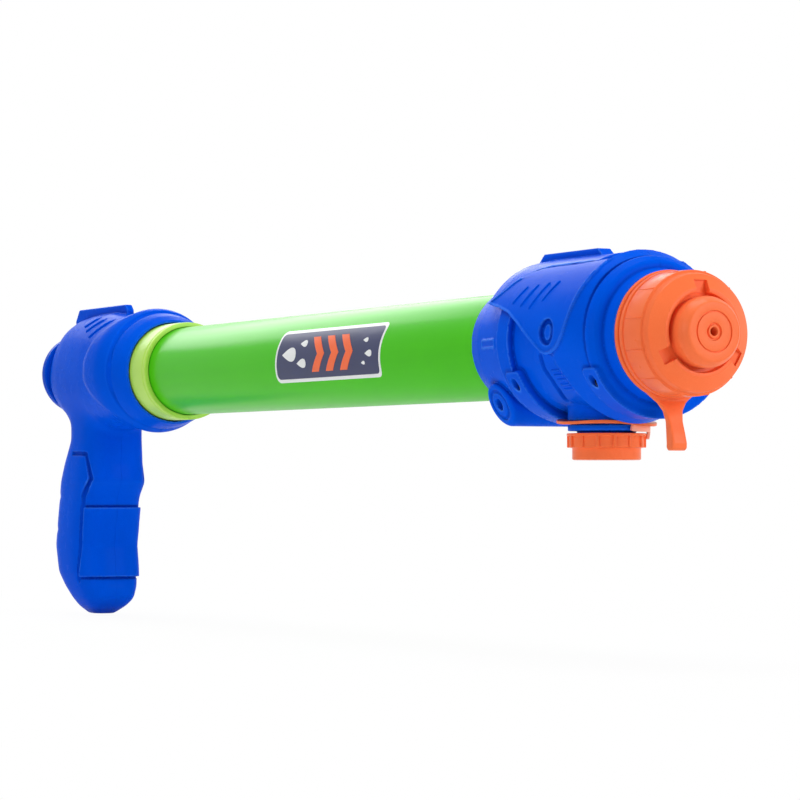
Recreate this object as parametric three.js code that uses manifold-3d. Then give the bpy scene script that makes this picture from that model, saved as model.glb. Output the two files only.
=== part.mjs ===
// A push-pull water squirter: a long tube with a plunger, a two-part front housing with a screw-on
// nozzle and a fill cap below it, and a pistol-grip handle on the plunger rod.
// Millimetres. While it is built, +X runs forward along the barrel axis, x = 0 is the rear end of the
// tube and z = 0 is the barrel axis. The last lines put the origin under the middle of the object.
import * as THREE from 'three';
import { mergeVertices } from 'three/addons/utils/BufferGeometryUtils.js';
import Module from 'manifold-3d';

const wasm = await Module();
wasm.setup();

// Fits and facets
const seatGap = 0.3;
const slideGap = 0.4;
const seamGap = 0.3;
const roundSides = 24;
const smallSides = 10;

// Barrel tube
const tubeDiameter = 44;
const tubeWall = 2;
const tubeLength = 400;

// Rear collar and the guide that keeps the rod upright
const collarWall = 2.3;
const collarGrip = 20;
const collarEndWall = 5;
const collarShow = 18;
const collarChamfer = 1;
const guideFlangeDiameter = 30;
const guideFlange = 2.5;
const guideDiameter = 22;
const guideTail = 0.7;

// Plunger rod, piston and seal
const rodWidth = 15;
const rodRib = 3.2;
const rodTipDiameter = 11;
const rodTipLength = 12;
const pistonLength = 22;
const pistonRest = 6;
const sealWidth = 6;
const sealDepth = 4;
const sealClearance = 0.15;
const pistonScrewDiameter = 3.8;
const pistonScrewHead = 8.4;
const pistonScrewHeadHeight = 3;
const pistonScrewLength = 24;
const spoolDiameter = 24;
const spoolFlange = 4;
const spoolNeckDiameter = 14;
const spoolSetback = 58;
const bulkhead = 5;

// Handle
const handleLength = 132;
const handleWall = 3;
const handleRise = 1.4;
const mouthGap = 0.6;
const mouthFloor = 5;
const lipWall = 1;
const hoopWall = 7.7;
const hoopLength = 13;
const hoopSetback = 28;
const waistDrop = 2;
const tailDiameter = 39;
const tailTaper = 24;
const tailRise = 8.5;
const tailSwell = 3;
const spineWidth = 20;
const spineSetback = 52;
const spineTailGap = 2;
const spineRise = 2;
const spineFall = 3;
const spineHeel = 8;
const spineHeelDrop = 7;
const finWidth = 4;
const finHeight = 3;
const finSlope = 5;
const finMargin = 2;
const endCapDiameter = 36;
const endCapRim = 5;
const endCapSpigot = 8;
const endCapDish = 1.5;

// Grip
const gripSetback = 70;
const gripDrop = 126;
const gripDepth = 51;
const gripWidth = 38;
const gripLean = 10;
const gripRound = 3.4;
const padStart = 68;
const padLength = 36;
const padRise = 1.2;
const padDepth = 31;
const upperPostDrop = 63;
const lowerPostDrop = 103;

// Screws
const screwDiameter = 3;
const screwHead = 6.4;
const screwHeadHeight = 2.2;
const screwSlotWidth = 1;
const screwSlotDepth = 1.2;
const postDiameter = 9;
const earBite = 2.8;
const longScrewPast = 9;

// Front housing
const tubeSeat = 46;
const shellWall = 2.9;
const lipRing = 2.2;
const lipLength = 8;
const coneRise = 4;
const coneLength = 26;
const hoopRise = 2.5;
const hoopWidth = 10;
const recessLength = 41.2;
const frontHoopRise = 4;
const frontHoopWidth = 8;
const hoopSlope = 10.8;
const bezelLength = 16.8;
const bezelDrop = 1.4;
const bezelTaper = 2.4;
const bezelEdge = 1.2;
const sleeveWall = 2.7;
const sleeveLength = 23;
const sleeveFloor = 3;
const shellAir = 1.6;
const hoodRise = 3.7;
const hoodFloor = 11;
const hoodSetback = 16;
const hoodLength = 68;
const shieldRise = 0.6;
const shieldFoot = 7;
const shieldHeight = 34.5;
const shieldLength = 64;
const shieldShoulder = 16;
const shieldTipSetback = 51;
const shieldHeelSetback = 59;
const railHeight = 2.8;
const railLength = 50;
const railWidth = 6;
const railSlope = 4;
const railSetback = 2;
const earAngle = 44.4;
const earDiameter = 9;
const earRise = 2;
const rearEarSetback = 7.6;
const frontEarReach = 15.5;
const frontEarSetback = 4.6;
const screwPadRise = 0.6;
const frontPadRise = 4.5;
const screwPadDepth = 3;
const screwPadDiameter = 11;
const keelDiameter = 17.4;
const keelHalfLength = 20.5;
const keelDrop = 2.6;
const keelSetback = 8;
const keelRounding = 3;
const keelHeadDepth = 4;
const topScrewRise = 4.6;
const topScrewHeadDepth = 9;
const ribMarkWidth = 3.4;
const ribMarkSetback = 8;
const ribMarkLength = 11;
const ribMarkRise = 0.6;

// Water manifold: tube socket, nozzle neck and fill neck
const waterBore = 16;
const manifoldDiameter = 28;
const neckDiameter = 29.2;
const neckLength = 15;
const neckShoulder = 0.9;
const threadHeight = 1;
const nozzlePitch = 4;
const nozzleThreadTurns = 2;
const tubeSealThickness = 2;
const tubeSealWidth = 2.6;
const earBar = 8;

// Nozzle
const leverDiameter = 49.4;
const leverThickness = 2;
const leverTabWidth = 6.4;
const leverTabDrop = 42.8;
const leverTabThickness = 3;
const leverFootDepth = 5.6;
const leverFootHeight = 5;
const leverLean = 2;
const leverFlare = 9;
const capDiameter = 48;
const capTaper = 0.4;
const capSideLength = 13;
const capRidgeDrop = 2;
const capRidgeSetback = 6.2;
const capFrontDiameter = 34;
const capFrontWall = 6;
const nozzleGasketThickness = 2;
const nozzleGasketBore = 18;
const tipSpigotDiameter = 18;
const tipDiameter = 27;
const tipLength = 7.2;
const tipFaceDiameter = 22.4;
const tipDishDiameter = 9;
const tipDish = 1.2;
const orificeDiameter = 3.2;
const lugCount = 3;
const lugWidth = 5;
const lugReach = 3.6;
const lugDepth = 2.8;

// Fill neck, cap and tether
const fillSetback = 45;
const fillBore = 17;
const fillBossDiameter = 30.4;
const fillBossWall = 1.2;
const fillBossDrop = 2.2;
const tetherThickness = 1.2;
const tetherDiameter = 39.4;
const fillFlange = 2.4;
const fillNeckDiameter = 23;
const fillNeckLength = 6.3;
const fillPitch = 4;
const fillThreadTurns = 1;
const fillCapDiameter = 30.9;
const fillCapBand = 6;
const fillCapDrum = 5.1;
const fillCapDrumDiameter = 27;
const fillCapWall = 2;
const fillCapFlutes = 18;
const fillCapFluteDepth = 0.7;
const fillGasketThickness = 1.5;
const strapAngle = 22;
const strapWidth = 6;
const strapThickness = 1.5;
const strapDrop = 3;
const strapLand = 3;

// Radii and stations that follow from the sizes above
const tubeR = tubeDiameter / 2;
const tubeBoreR = tubeR - tubeWall;
const collarR = tubeR + seatGap + collarWall;
const collarRear = -seatGap - collarEndWall;
const lipX = collarGrip - collarShow;
const mouthR = collarR + mouthGap;
const mouthEnd = collarRear - guideTail - seatGap;
const handleRear = lipX - handleLength;
const rearFace = handleRear - endCapRim;
const hoopR = mouthR + hoopWall;
const spoolFront = lipX - spoolSetback;

const shellRear = tubeLength - tubeSeat;
const coneStart = shellRear + lipLength;
const rearHoop = coneStart + coneLength;
const recessStart = rearHoop + hoopWidth;
const frontHoop = recessStart + recessLength;
const bezelStart = frontHoop + frontHoopWidth;
const shellFace = bezelStart + bezelLength;
const sleeveR = tubeR + seatGap + sleeveWall;
const shellInnerR = sleeveR + shellAir;
const recessR = shellInnerR + shellWall;
const rearHoopR = recessR + hoopRise;
const frontHoopR = recessR + frontHoopRise;
const hoodR = recessR + hoodRise;
const shieldR = hoodR + shieldRise;
const sleeveRear = tubeLength - sleeveLength;
const sleeveFront = tubeLength + tubeSealThickness + 2 * seatGap + sleeveFloor;
const neckR = neckDiameter / 2;
const neckEnd = shellFace + neckLength;
const leverRear = shellFace + seatGap;
const capRear = leverRear + leverThickness + seatGap;
const capInner = neckEnd + nozzleGasketThickness + 2 * seatGap;
const capFace = capInner + capFrontWall;
const nozzleFace = capFace + seatGap + tipLength;

const fillX = shellFace - fillSetback;
const fillBossEnd = -(recessR + fillBossDrop);
const tetherTop = fillBossEnd - seatGap;
const tetherUnder = tetherTop - tetherThickness;
const fillFlangeTop = tetherUnder - seatGap;
const fillFlangeEnd = fillFlangeTop - fillFlange;
const fillNeckEnd = fillFlangeEnd - fillNeckLength;
const fillCapTop = fillFlangeEnd - seatGap;
const fillCapInner = fillNeckEnd - fillGasketThickness - 2 * seatGap;
const fillCapBase = fillCapTop - fillCapBand - fillCapDrum;

const earZ = -sleeveR * Math.sin(THREE.MathUtils.degToRad(earAngle));
const sleeveY = sleeveR * Math.cos(THREE.MathUtils.degToRad(earAngle));
const screwHoleR = screwDiameter / 2 + seatGap;
const screwHeadR = screwHead / 2 + slideGap;
const bezelR = recessR - bezelDrop;
const rearEar = {
  x: rearHoop + rearEarSetback,
  face: sleeveY + earRise,
  pad: Math.sqrt(rearHoopR ** 2 - earZ ** 2) + screwPadRise,
};
const frontEar = {
  x: bezelStart + frontEarSetback,
  face: frontEarReach,
  pad: Math.sqrt(bezelR ** 2 - earZ ** 2) + frontPadRise,
};
const keelX = coneStart + keelSetback;
const keelZ = -(tubeR + keelDrop);
const topScrewX = shellRear + hoodSetback + postDiameter / 2;
const topScrewZ = tubeR + topScrewRise;

// Materials, one for each plastic or rubber
const looks = {
  blue: { color: 0x0a49d6, roughness: 0.4 },
  orange: { color: 0xfb7441, roughness: 0.42 },
  green: { color: 0x4fc31c, roughness: 0.3 },
  lime: { color: 0xb3dc55, roughness: 0.4 },
  white: { color: 0xe6e8e6, roughness: 0.5 },
  rubber: { color: 0x202224, roughness: 0.8 },
  steel: { color: 0xb9bcc0, roughness: 0.35, metalness: 0.9 },
};

const squirter = new THREE.Group();
squirter.name = 'water_squirter';

function solid(geometry) {
  const bare = geometry.index ? geometry.clone() : geometry;
  for (const name of Object.keys(bare.attributes)) {
    if (name !== 'position') bare.deleteAttribute(name);
  }
  const merged = mergeVertices(bare, 1e-4);
  const place = merged.attributes.position;
  const triangles = [];
  let volume = 0;
  const [a, b, c] = [new THREE.Vector3(), new THREE.Vector3(), new THREE.Vector3()];
  for (let i = 0; i < merged.index.count; i += 3) {
    const corner = [0, 1, 2].map((k) => merged.index.getX(i + k));
    if (new Set(corner).size < 3) continue;
    triangles.push(corner);
    a.fromBufferAttribute(place, corner[0]);
    b.fromBufferAttribute(place, corner[1]);
    c.fromBufferAttribute(place, corner[2]);
    volume += a.dot(b.cross(c));
  }
  const facing = triangles.map((corner) => (volume < 0 ? [corner[0], corner[2], corner[1]] : corner));
  return new wasm.Manifold(new wasm.Mesh({
    numProp: 3,
    vertProperties: new Float32Array(place.array),
    triVerts: new Uint32Array(facing.flat()),
  }));
}

function add(name, shape, look) {
  const mesh = shape.getMesh();
  const geometry = new THREE.BufferGeometry();
  geometry.setAttribute('position', new THREE.BufferAttribute(mesh.vertProperties, 3));
  geometry.setIndex(new THREE.BufferAttribute(mesh.triVerts, 1));
  geometry.computeVertexNormals();
  const material = new THREE.MeshStandardMaterial({ metalness: 0, flatShading: true, ...looks[look] });
  const piece = new THREE.Mesh(geometry, material);
  piece.name = name;
  squirter.add(piece);
  return piece;
}

function join(shapes) {
  return shapes.reduce((whole, shape) => whole.add(shape));
}

function cut(shape, tools) {
  return tools.reduce((rest, tool) => rest.subtract(tool), shape);
}

// A turned shape about the barrel axis. Its profile is a list of [x, radius].
function turned(profile, sides = roundSides) {
  const points = profile.map(([x, r]) => new THREE.Vector2(r, x));
  return solid(new THREE.LatheGeometry(points, sides).rotateZ(-Math.PI / 2));
}

// A turned ring: the profile closes on itself.
function turnedRing(profile, sides = roundSides) {
  return turned([...profile, profile[0]], sides);
}

// A turned shape about an upright axis at x. Its profile is a list of [z, radius].
function upright(x, profile, sides = roundSides) {
  const points = profile.map(([z, r]) => new THREE.Vector2(r, z));
  return solid(new THREE.LatheGeometry(points, sides).rotateX(Math.PI / 2).translate(x, 0, 0));
}

function rod(x0, x1, r, sides = roundSides) {
  return turned([[x0, 0], [x0, r], [x1, r], [x1, 0]], sides);
}

function post(x, z, y0, y1, r, sides = smallSides) {
  const bar = new THREE.CylinderGeometry(r, r, Math.abs(y1 - y0), sides);
  return solid(bar.translate(x, (y0 + y1) / 2, z));
}

function block(x0, x1, y0, y1, z0, z1) {
  const box = new THREE.BoxGeometry(x1 - x0, y1 - y0, z1 - z0);
  return solid(box.translate((x0 + x1) / 2, (y0 + y1) / 2, (z0 + z1) / 2));
}

// A side outline, a list of [x, z], made as wide as y0 to y1.
function plate(outline, y0, y1) {
  const shape = new THREE.Shape(outline.map(([x, z]) => new THREE.Vector2(x, z)));
  const slab = new THREE.ExtrudeGeometry(shape, { depth: y1 - y0, bevelEnabled: false });
  return solid(slab.rotateX(Math.PI / 2).translate(0, y1, 0));
}

// A round ridge that winds along a neck.
class Helix extends THREE.Curve {
  constructor(radius, pitch, turns) {
    super();
    Object.assign(this, { radius, pitch, turns });
  }

  getPoint(t, target = new THREE.Vector3()) {
    const angle = t * this.turns * 2 * Math.PI;
    const away = t * this.turns * this.pitch;
    return target.set(away, this.radius * Math.cos(angle), this.radius * Math.sin(angle));
  }
}

function thread(neckRadius, pitch, turns) {
  const ridge = new THREE.Shape().absarc(0, 0, threadHeight, 0, 2 * Math.PI);
  const path = new Helix(neckRadius, pitch, turns);
  const steps = Math.round(turns * smallSides);
  return new THREE.ExtrudeGeometry(ridge, { steps, curveSegments: 3, extrudePath: path });
}

// A skin over level sections. Each has a middle x, a height z, half a depth and half a width.
// A skin that lies down has its heights along +X, and its middles below the barrel axis.
function skin(sections, roundness, liesDown = false) {
  const rings = sections.map(({ x, z, depth, width }) => {
    const ring = [];
    for (let i = 0; i < roundSides; i += 1) {
      const angle = (i / roundSides) * 2 * Math.PI;
      const [c, s] = [Math.cos(angle), Math.sin(angle)];
      const power = 2 / roundness;
      const across = Math.sign(c) * Math.abs(c) ** power;
      const aside = Math.sign(s) * Math.abs(s) ** power;
      ring.push(x + depth * across, width * aside, z);
    }
    return ring;
  });
  const places = rings.flat();
  const index = [];
  for (let k = 0; k + 1 < rings.length; k += 1) {
    for (let i = 0; i < roundSides; i += 1) {
      const j = (i + 1) % roundSides;
      const [p, q] = [k * roundSides, (k + 1) * roundSides];
      index.push(p + i, p + j, q + j, p + i, q + j, q + i);
    }
  }
  for (const k of [0, rings.length - 1]) {
    const middle = places.length / 3;
    places.push(sections[k].x, 0, sections[k].z);
    for (let i = 0; i < roundSides; i += 1) {
      const [p, q] = [k * roundSides + i, k * roundSides + ((i + 1) % roundSides)];
      index.push(...(k === 0 ? [middle, q, p] : [middle, p, q]));
    }
  }
  const geometry = new THREE.BufferGeometry();
  geometry.setAttribute('position', new THREE.Float32BufferAttribute(places, 3));
  geometry.setIndex(index);
  return solid(liesDown ? geometry.rotateY(Math.PI / 2) : geometry);
}

const reach = tubeLength;

function leftHalf(shape) {
  return shape.intersect(block(-reach, 2 * reach, seamGap / 2, reach, -reach, reach));
}

function rightHalf(shape) {
  return shape.intersect(block(-reach, 2 * reach, -reach, -seamGap / 2, -reach, reach));
}

// A screw along Y with its head on the side that side names, +1 or -1. seat is where the head bears.
function screw(name, x, z, seat, length, side) {
  const half = screwDiameter / 2;
  const profile = [[-length, 0], [-length, half], [0, half], [0, screwHead / 2],
    [screwHeadHeight, screwHead / 2], [screwHeadHeight, 0]];
  const points = profile.map(([y, r]) => new THREE.Vector2(r, y));
  const body = solid(new THREE.LatheGeometry(points, smallSides));
  const slotFloor = screwHeadHeight - screwSlotDepth;
  const long = screwHead / 3;
  const wide = screwSlotWidth / 2;
  const slots = [block(-long, long, slotFloor, screwHead, -wide, wide),
    block(-wide, wide, slotFloor, screwHead, -long, long)];
  const piece = add(name, cut(body, slots), 'steel');
  piece.position.set(x, side * (seat + seatGap), z);
  piece.rotation.z = side > 0 ? 0 : Math.PI;
}

// The room that a screw needs: its hole and the well over its head.
function screwRoom(x, z, seat, length, side) {
  const tip = side * (seat - length - seatGap);
  return join([post(x, z, tip, side * reach, screwHoleR), post(x, z, side * seat, side * reach, screwHeadR)]);
}

// Barrel tube
add('barrel_tube', turnedRing([[0, tubeBoreR], [0, tubeR], [tubeLength, tubeR], [tubeLength, tubeBoreR]]),
  'green');

// Rear collar: a cap over the tube's end, with a hole for the rod guide
const guideHoleR = guideDiameter / 2 + seatGap;
add('rear_collar', turnedRing([
  [collarRear, guideHoleR], [collarRear, collarR], [collarGrip - collarChamfer, collarR],
  [collarGrip, collarR - collarChamfer], [collarGrip, tubeR + seatGap], [-seatGap, tubeR + seatGap],
  [-seatGap, guideHoleR],
]), 'lime');

// Cross-shaped section of the rod, made larger by a clearance for the guide's hole
function cross(x0, x1, clearance) {
  const long = rodWidth / 2 + clearance;
  const thin = rodRib / 2 + clearance;
  return block(x0, x1, -long, long, -thin, thin).add(block(x0, x1, -thin, thin, -long, long));
}

const guideFront = seatGap + guideFlange;
const guideBody = turned([
  [collarRear - guideTail, 0], [collarRear - guideTail, guideDiameter / 2], [0, guideDiameter / 2],
  [0, guideFlangeDiameter / 2], [guideFront, guideFlangeDiameter / 2], [guideFront, 0],
]);
add('rod_guide', guideBody.subtract(cross(-reach, reach, slideGap)), 'white');

// Plunger: rod with a spool at the handle end, piston, seal and the screw that holds the piston
const pistonFront = tubeLength - pistonRest;
const pistonRear = pistonFront - pistonLength;
const rodEnd = pistonRear - seatGap;
const spoolBack = spoolFront - bulkhead - 2 * seatGap;
const spool = turned([
  [spoolBack - spoolFlange, 0], [spoolBack - spoolFlange, spoolDiameter / 2],
  [spoolBack, spoolDiameter / 2], [spoolBack, spoolNeckDiameter / 2],
  [spoolFront, spoolNeckDiameter / 2], [spoolFront, spoolDiameter / 2],
  [spoolFront + spoolFlange, spoolDiameter / 2], [spoolFront + spoolFlange, 0],
], smallSides);
const pistonHoleR = pistonScrewDiameter / 2 + seatGap;
const screwSeat = pistonFront - pistonScrewHeadHeight - 2 * seatGap;
const screwTip = screwSeat + seatGap - pistonScrewLength;
const rodTip = rod(rodEnd - rodTipLength, rodEnd, rodTipDiameter / 2, smallSides);
const rodBody = join([cross(spoolFront, rodEnd - rodTipLength / 2, 0), rodTip, spool]);
add('plunger_rod', rodBody.subtract(rod(screwTip - seatGap, reach, pistonHoleR, smallSides)), 'white');

const pistonR = tubeBoreR - slideGap;
const sealMiddle = (pistonFront + pistonRear) / 2;
const grooveR = pistonR - sealDepth;
add('piston', turnedRing([
  [pistonRear, pistonHoleR], [pistonRear, pistonR], [sealMiddle - sealWidth / 2, pistonR],
  [sealMiddle - sealWidth / 2, grooveR], [sealMiddle + sealWidth / 2, grooveR],
  [sealMiddle + sealWidth / 2, pistonR], [pistonFront, pistonR],
  [pistonFront, pistonScrewHead / 2 + seatGap], [screwSeat, pistonScrewHead / 2 + seatGap],
  [screwSeat, pistonHoleR],
]), 'white');
const sealHalf = sealWidth / 2 - seatGap;
const sealR = tubeBoreR - sealClearance;
add('piston_seal', turnedRing([
  [sealMiddle - sealHalf, grooveR + seatGap], [sealMiddle - sealHalf, pistonR],
  [sealMiddle, sealR], [sealMiddle + sealHalf, pistonR], [sealMiddle + sealHalf, grooveR + seatGap],
]), 'rubber');
const pistonScrewR = pistonScrewDiameter / 2;
const pistonScrewTop = screwSeat + seatGap + pistonScrewHeadHeight;
add('piston_screw', turned([
  [screwTip, 0], [screwTip, pistonScrewR], [screwSeat + seatGap, pistonScrewR],
  [screwSeat + seatGap, pistonScrewHead / 2], [pistonScrewTop, pistonScrewHead / 2],
  [pistonScrewTop, 0],
], smallSides), 'steel');

// Handle: one outer form and one hollow, split along the middle into two shells
const hoopFront = lipX - hoopSetback + hoopLength / 2;
const hoopBack = lipX - hoopSetback - hoopLength / 2;
const waistR = hoopR - waistDrop;
const tailR = tailDiameter / 2;
const tailStart = handleRear + tailTaper;

function bodyForm(inset, front, back) {
  // Each row: station, half height, half width, share of the rise.
  const rows = [
    [handleRear, tailR - handleWall / 2, tailR - handleWall, 1],
    [handleRear + handleWall, tailR, tailR, 1],
    [tailStart, tailR + tailRise, tailR + tailSwell, 0.6],
    [(tailStart + hoopBack) / 2, waistR - waistDrop, waistR - tailSwell, 0.6],
    [hoopBack - handleWall, waistR, waistR, 1],
    [hoopBack, hoopR, hoopR, 1],
    [hoopFront, hoopR, hoopR, 1],
    [hoopFront + handleWall, waistR, waistR, 0.7],
    [(hoopFront + lipX) / 2, mouthR + lipWall * 2, mouthR + lipWall * 2, 0.3],
    [lipX, mouthR + lipWall, mouthR + lipWall, 0],
  ];
  const [first, last] = [back, front].map((x) => {
    const next = Math.max(1, rows.findIndex((row) => row[0] >= x));
    const [before, after] = [rows[next - 1], rows[next]];
    const share = (x - before[0]) / (after[0] - before[0]);
    return before.map((value, k) => THREE.MathUtils.lerp(value, after[k], share));
  });
  const inner = rows.filter(([x]) => x > back && x < front);
  return skin([first, ...inner, last].map(([x, height, width, rise]) => ({
    x: -handleRise * rise, z: x, depth: height - inset, width: width - inset,
  })), 2, true);
}

const gripMiddle = lipX - gripSetback - gripDepth / 2;

function gripForm(inset) {
  // Each row: share of the drop, shift of the middle, share of the depth, share of the width.
  const rows = [
    [0.1, 0.6, 0.82, 0.86], [0.27, 0.6, 0.82, 0.86], [0.37, 0.2, 0.92, 0.94], [0.445, 0.04, 1, 1],
    [0.515, -0.36, 0.95, 0.96], [0.61, -0.6, 0.96, 0.96], [0.715, -0.85, 0.96, 0.96],
    [0.825, -0.55, 0.93, 0.94], [0.885, -0.1, 0.85, 0.86], [0.937, 0.25, 0.7, 0.72],
    [0.985, 0.1, 0.4, 0.4], [1, 0, 0.2, 0.2],
  ];
  return skin(rows.map(([drop, shift, depth, width]) => ({
    x: gripMiddle + shift * gripLean,
    z: -gripDrop * drop + inset * drop,
    depth: Math.max((gripDepth * depth) / 2 - inset, inset),
    width: Math.max((gripWidth * width) / 2 - inset, inset),
  })), gripRound);
}

const spineFront = lipX - spineSetback;
const spineRear = handleRear + spineTailGap;
const spineTop = waistR + handleRise + spineRise;
const spineEnd = spineTop - spineFall;
const spine = plate([
  [spineFront, 0], [spineFront, spineTop], [spineRear + spineHeel, spineEnd],
  [spineRear, spineEnd - spineHeelDrop], [spineRear, 0],
], -spineWidth / 2, spineWidth / 2);
const finTop = spineTop + finHeight;
const finRear = spineRear + finMargin;
const fin = plate([
  [spineFront, 0], [spineFront, spineTop], [spineFront - finSlope, finTop], [finRear + finSlope, finTop],
  [finRear, spineEnd], [finRear, 0],
], -finWidth / 2, finWidth / 2);
const gripPadFront = lipX - gripSetback + padRise;
const gripPad = gripForm(-padRise).intersect(block(
  gripPadFront - padDepth, gripPadFront + gripDepth,
  -gripWidth, gripWidth, -padStart - padLength, -padStart,
));
const handleOuter = join([bodyForm(0, lipX, handleRear), spine, fin, gripForm(0), gripPad]);
const cavityFront = mouthEnd - mouthFloor;
const cavity = bodyForm(handleWall, cavityFront, handleRear + handleWall);
const endSpigotR = (endCapDiameter / 2) - handleWall;
const handlePosts = [
  { x: tailStart + postDiameter, z: tailR - postDiameter, seat: tailR / 2 },
  { x: tailStart, z: -tailR / 2, seat: tailR / 2 },
  { x: gripMiddle, z: -upperPostDrop, seat: gripWidth / 4 },
  { x: gripMiddle - gripLean / 2, z: -lowerPostDrop, seat: gripWidth / 4 },
];
const handleStays = [
  ...handlePosts.map(({ x, z }) => post(x, z, -reach, reach, postDiameter / 2)),
  rod(spoolFront - bulkhead - seatGap, spoolFront - seatGap, reach),
];
const handleSolid = cut(
  handleOuter.subtract(cavity).subtract(gripForm(handleWall)).add(join(handleStays).intersect(handleOuter)),
  [
    rod(mouthEnd, reach, mouthR),
    rod(cavityFront - seatGap, reach, rodWidth / 2 + 2 * slideGap, smallSides),
    rod(spoolBack, reach, spoolNeckDiameter / 2 + seatGap, smallSides),
    rod(-reach, handleRear + endCapSpigot + seatGap, endSpigotR + seatGap),
    ...handlePosts.map(({ x, z, seat }) => screwRoom(x, z, seat, seat + longScrewPast, 1)),
  ],
);
add('handle_shell_left', leftHalf(handleSolid), 'blue');
add('handle_shell_right', rightHalf(handleSolid), 'blue');
handlePosts.forEach(({ x, z, seat }, i) => {
  screw(`handle_screw_${i + 1}`, x, z, seat, seat + longScrewPast, 1);
});
const endRim = handleRear - seatGap;
add('handle_end_cap', turned([
  [rearFace, 0], [rearFace, endSpigotR - endCapDish], [rearFace + endCapDish, endCapDiameter / 2],
  [endRim, endCapDiameter / 2], [endRim, endSpigotR], [handleRear + endCapSpigot, endSpigotR],
  [handleRear + endCapSpigot, 0],
]), 'blue');

// Water manifold: socket for the tube, neck for the nozzle, neck for the fill cap, ears for screws
const manifoldR = manifoldDiameter / 2;
const fillNeckR = fillNeckDiameter / 2;
const fillSleeveR = fillBossDiameter / 2 - fillBossWall - seatGap;
const manifoldBody = turned([
  [sleeveRear, 0], [sleeveRear, sleeveR], [sleeveFront, sleeveR], [sleeveFront, manifoldR],
  [shellFace - shellWall, manifoldR], [shellFace - shellWall, neckR + neckShoulder],
  [capRear - seatGap, neckR + neckShoulder], [capRear - seatGap, neckR], [neckEnd, neckR], [neckEnd, 0],
]);
const fillNeck = upright(fillX, [
  [0, 0], [0, fillSleeveR], [fillFlangeTop, fillSleeveR], [fillFlangeTop, fillBossDiameter / 2],
  [fillFlangeEnd, fillBossDiameter / 2], [fillFlangeEnd, fillNeckR], [fillNeckEnd, fillNeckR],
  [fillNeckEnd, 0],
]);
const nozzleThread = solid(thread(neckR, nozzlePitch, nozzleThreadTurns)
  .translate(capRear + threadHeight + slideGap, 0, 0));
const fillThread = solid(thread(fillNeckR, fillPitch, fillThreadTurns)
  .rotateY(Math.PI / 2).translate(fillX, 0, fillFlangeEnd - threadHeight - slideGap));
const ears = [
  post(rearEar.x, earZ, -rearEar.face, rearEar.face, earDiameter / 2),
  block(frontEar.x - earBar / 2, frontEar.x + earBar / 2, -frontEar.face, frontEar.face,
    earZ - earBar / 2, earZ + earBar / 2),
  block(frontEar.x - earBar / 2, frontEar.x + earBar / 2, -manifoldR / 2, manifoldR / 2, earZ, 0),
];
const shortScrews = [rearEar, frontEar].flatMap(({ x, face, pad }) => {
  const seat = pad - screwPadDepth;
  return [1, -1].map((side) => ({ x, face, pad, seat, length: seat - face + earBite, side }));
});
const shortRooms = shortScrews.map(({ x, seat, length, side }) => screwRoom(x, earZ, seat, length, side));
const manifold = cut(join([manifoldBody, fillNeck, nozzleThread, fillThread, ...ears]), [
  rod(-reach, tubeLength + tubeSealThickness + 2 * seatGap, tubeR + seatGap),
  rod(0, 2 * reach, waterBore / 2, smallSides),
  upright(fillX, [[0, 0], [0, fillBore / 2], [-reach, fillBore / 2], [-reach, 0]], smallSides),
  ...shortRooms,
]);
add('water_manifold', manifold, 'blue');
const tubeSealRear = tubeLength + seatGap;
add('tube_seal', turnedRing([
  [tubeSealRear, tubeR - tubeSealWidth], [tubeSealRear, tubeR],
  [tubeSealRear + tubeSealThickness, tubeR], [tubeSealRear + tubeSealThickness, tubeR - tubeSealWidth],
]), 'rubber');

// Front housing: one outer form and one hollow, split along the middle into two shells
const lipR = tubeR + lipRing;
const coneR = tubeR + coneRise;
const housing = turned([
  [shellRear, 0], [shellRear, lipR], [coneStart, coneR], [rearHoop, recessR],
  [rearHoop, rearHoopR], [recessStart, rearHoopR], [recessStart, recessR], [frontHoop, recessR],
  [frontHoop, frontHoopR], [bezelStart, frontHoopR], [bezelStart + hoopSlope, bezelR],
  [shellFace - bezelEdge, bezelR - bezelTaper], [shellFace, bezelR - bezelTaper - bezelEdge],
  [shellFace, 0],
]);
const hoodRear = shellRear + hoodSetback;
const hoodFront = hoodRear + hoodLength;
const hoodTurn = turned([
  [hoodRear, 0], [hoodRear, hoodR - hoodRise / 2], [hoodRear + hoodRise / 2, hoodR],
  [hoodFront, hoodR], [frontHoop, recessR], [frontHoop, 0],
]);
const hood = hoodTurn.intersect(block(hoodRear, frontHoop, -reach, reach, hoodFloor, reach));
const shieldRear = hoodRear + hoodRise;
const shieldTop = shieldHeight - shieldFoot;
const shieldOutline = [
  [shieldRear, shieldShoulder], [shieldRear + shieldTipSetback, -shieldFoot],
  [shieldRear + shieldHeelSetback, -shieldFoot / 2], [shieldRear + shieldLength, shieldTop],
  [shieldRear + shieldShoulder, shieldTop],
];
const shield = rod(shieldRear, shieldRear + shieldLength, shieldR).intersect(join([
  plate(shieldOutline, tubeR / 2, reach), plate(shieldOutline, -reach, -tubeR / 2),
]));
const railRear = hoodRear + railSetback;
const railTop = hoodR + railHeight;
const rail = plate([
  [railRear, tubeR + shellAir], [railRear, hoodR - railHeight / 4], [railRear + railSlope, railTop],
  [railRear + railLength - railSlope, railTop], [railRear + railLength, hoodR - railHeight / 4],
  [railRear + railLength, tubeR + shellAir],
], -railWidth / 2, railWidth / 2);
const keelR = keelDiameter / 2;
const keelEdge = keelHalfLength - keelRounding;
const keelProfile = [
  [0, -keelHalfLength], [keelR - keelRounding, -keelHalfLength], [keelR, -keelEdge],
  [keelR, keelEdge], [keelR - keelRounding, keelHalfLength], [0, keelHalfLength],
].map(([r, y]) => new THREE.Vector2(r, y));
const keel = solid(new THREE.LatheGeometry(keelProfile, roundSides).translate(keelX, 0, keelZ));
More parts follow.
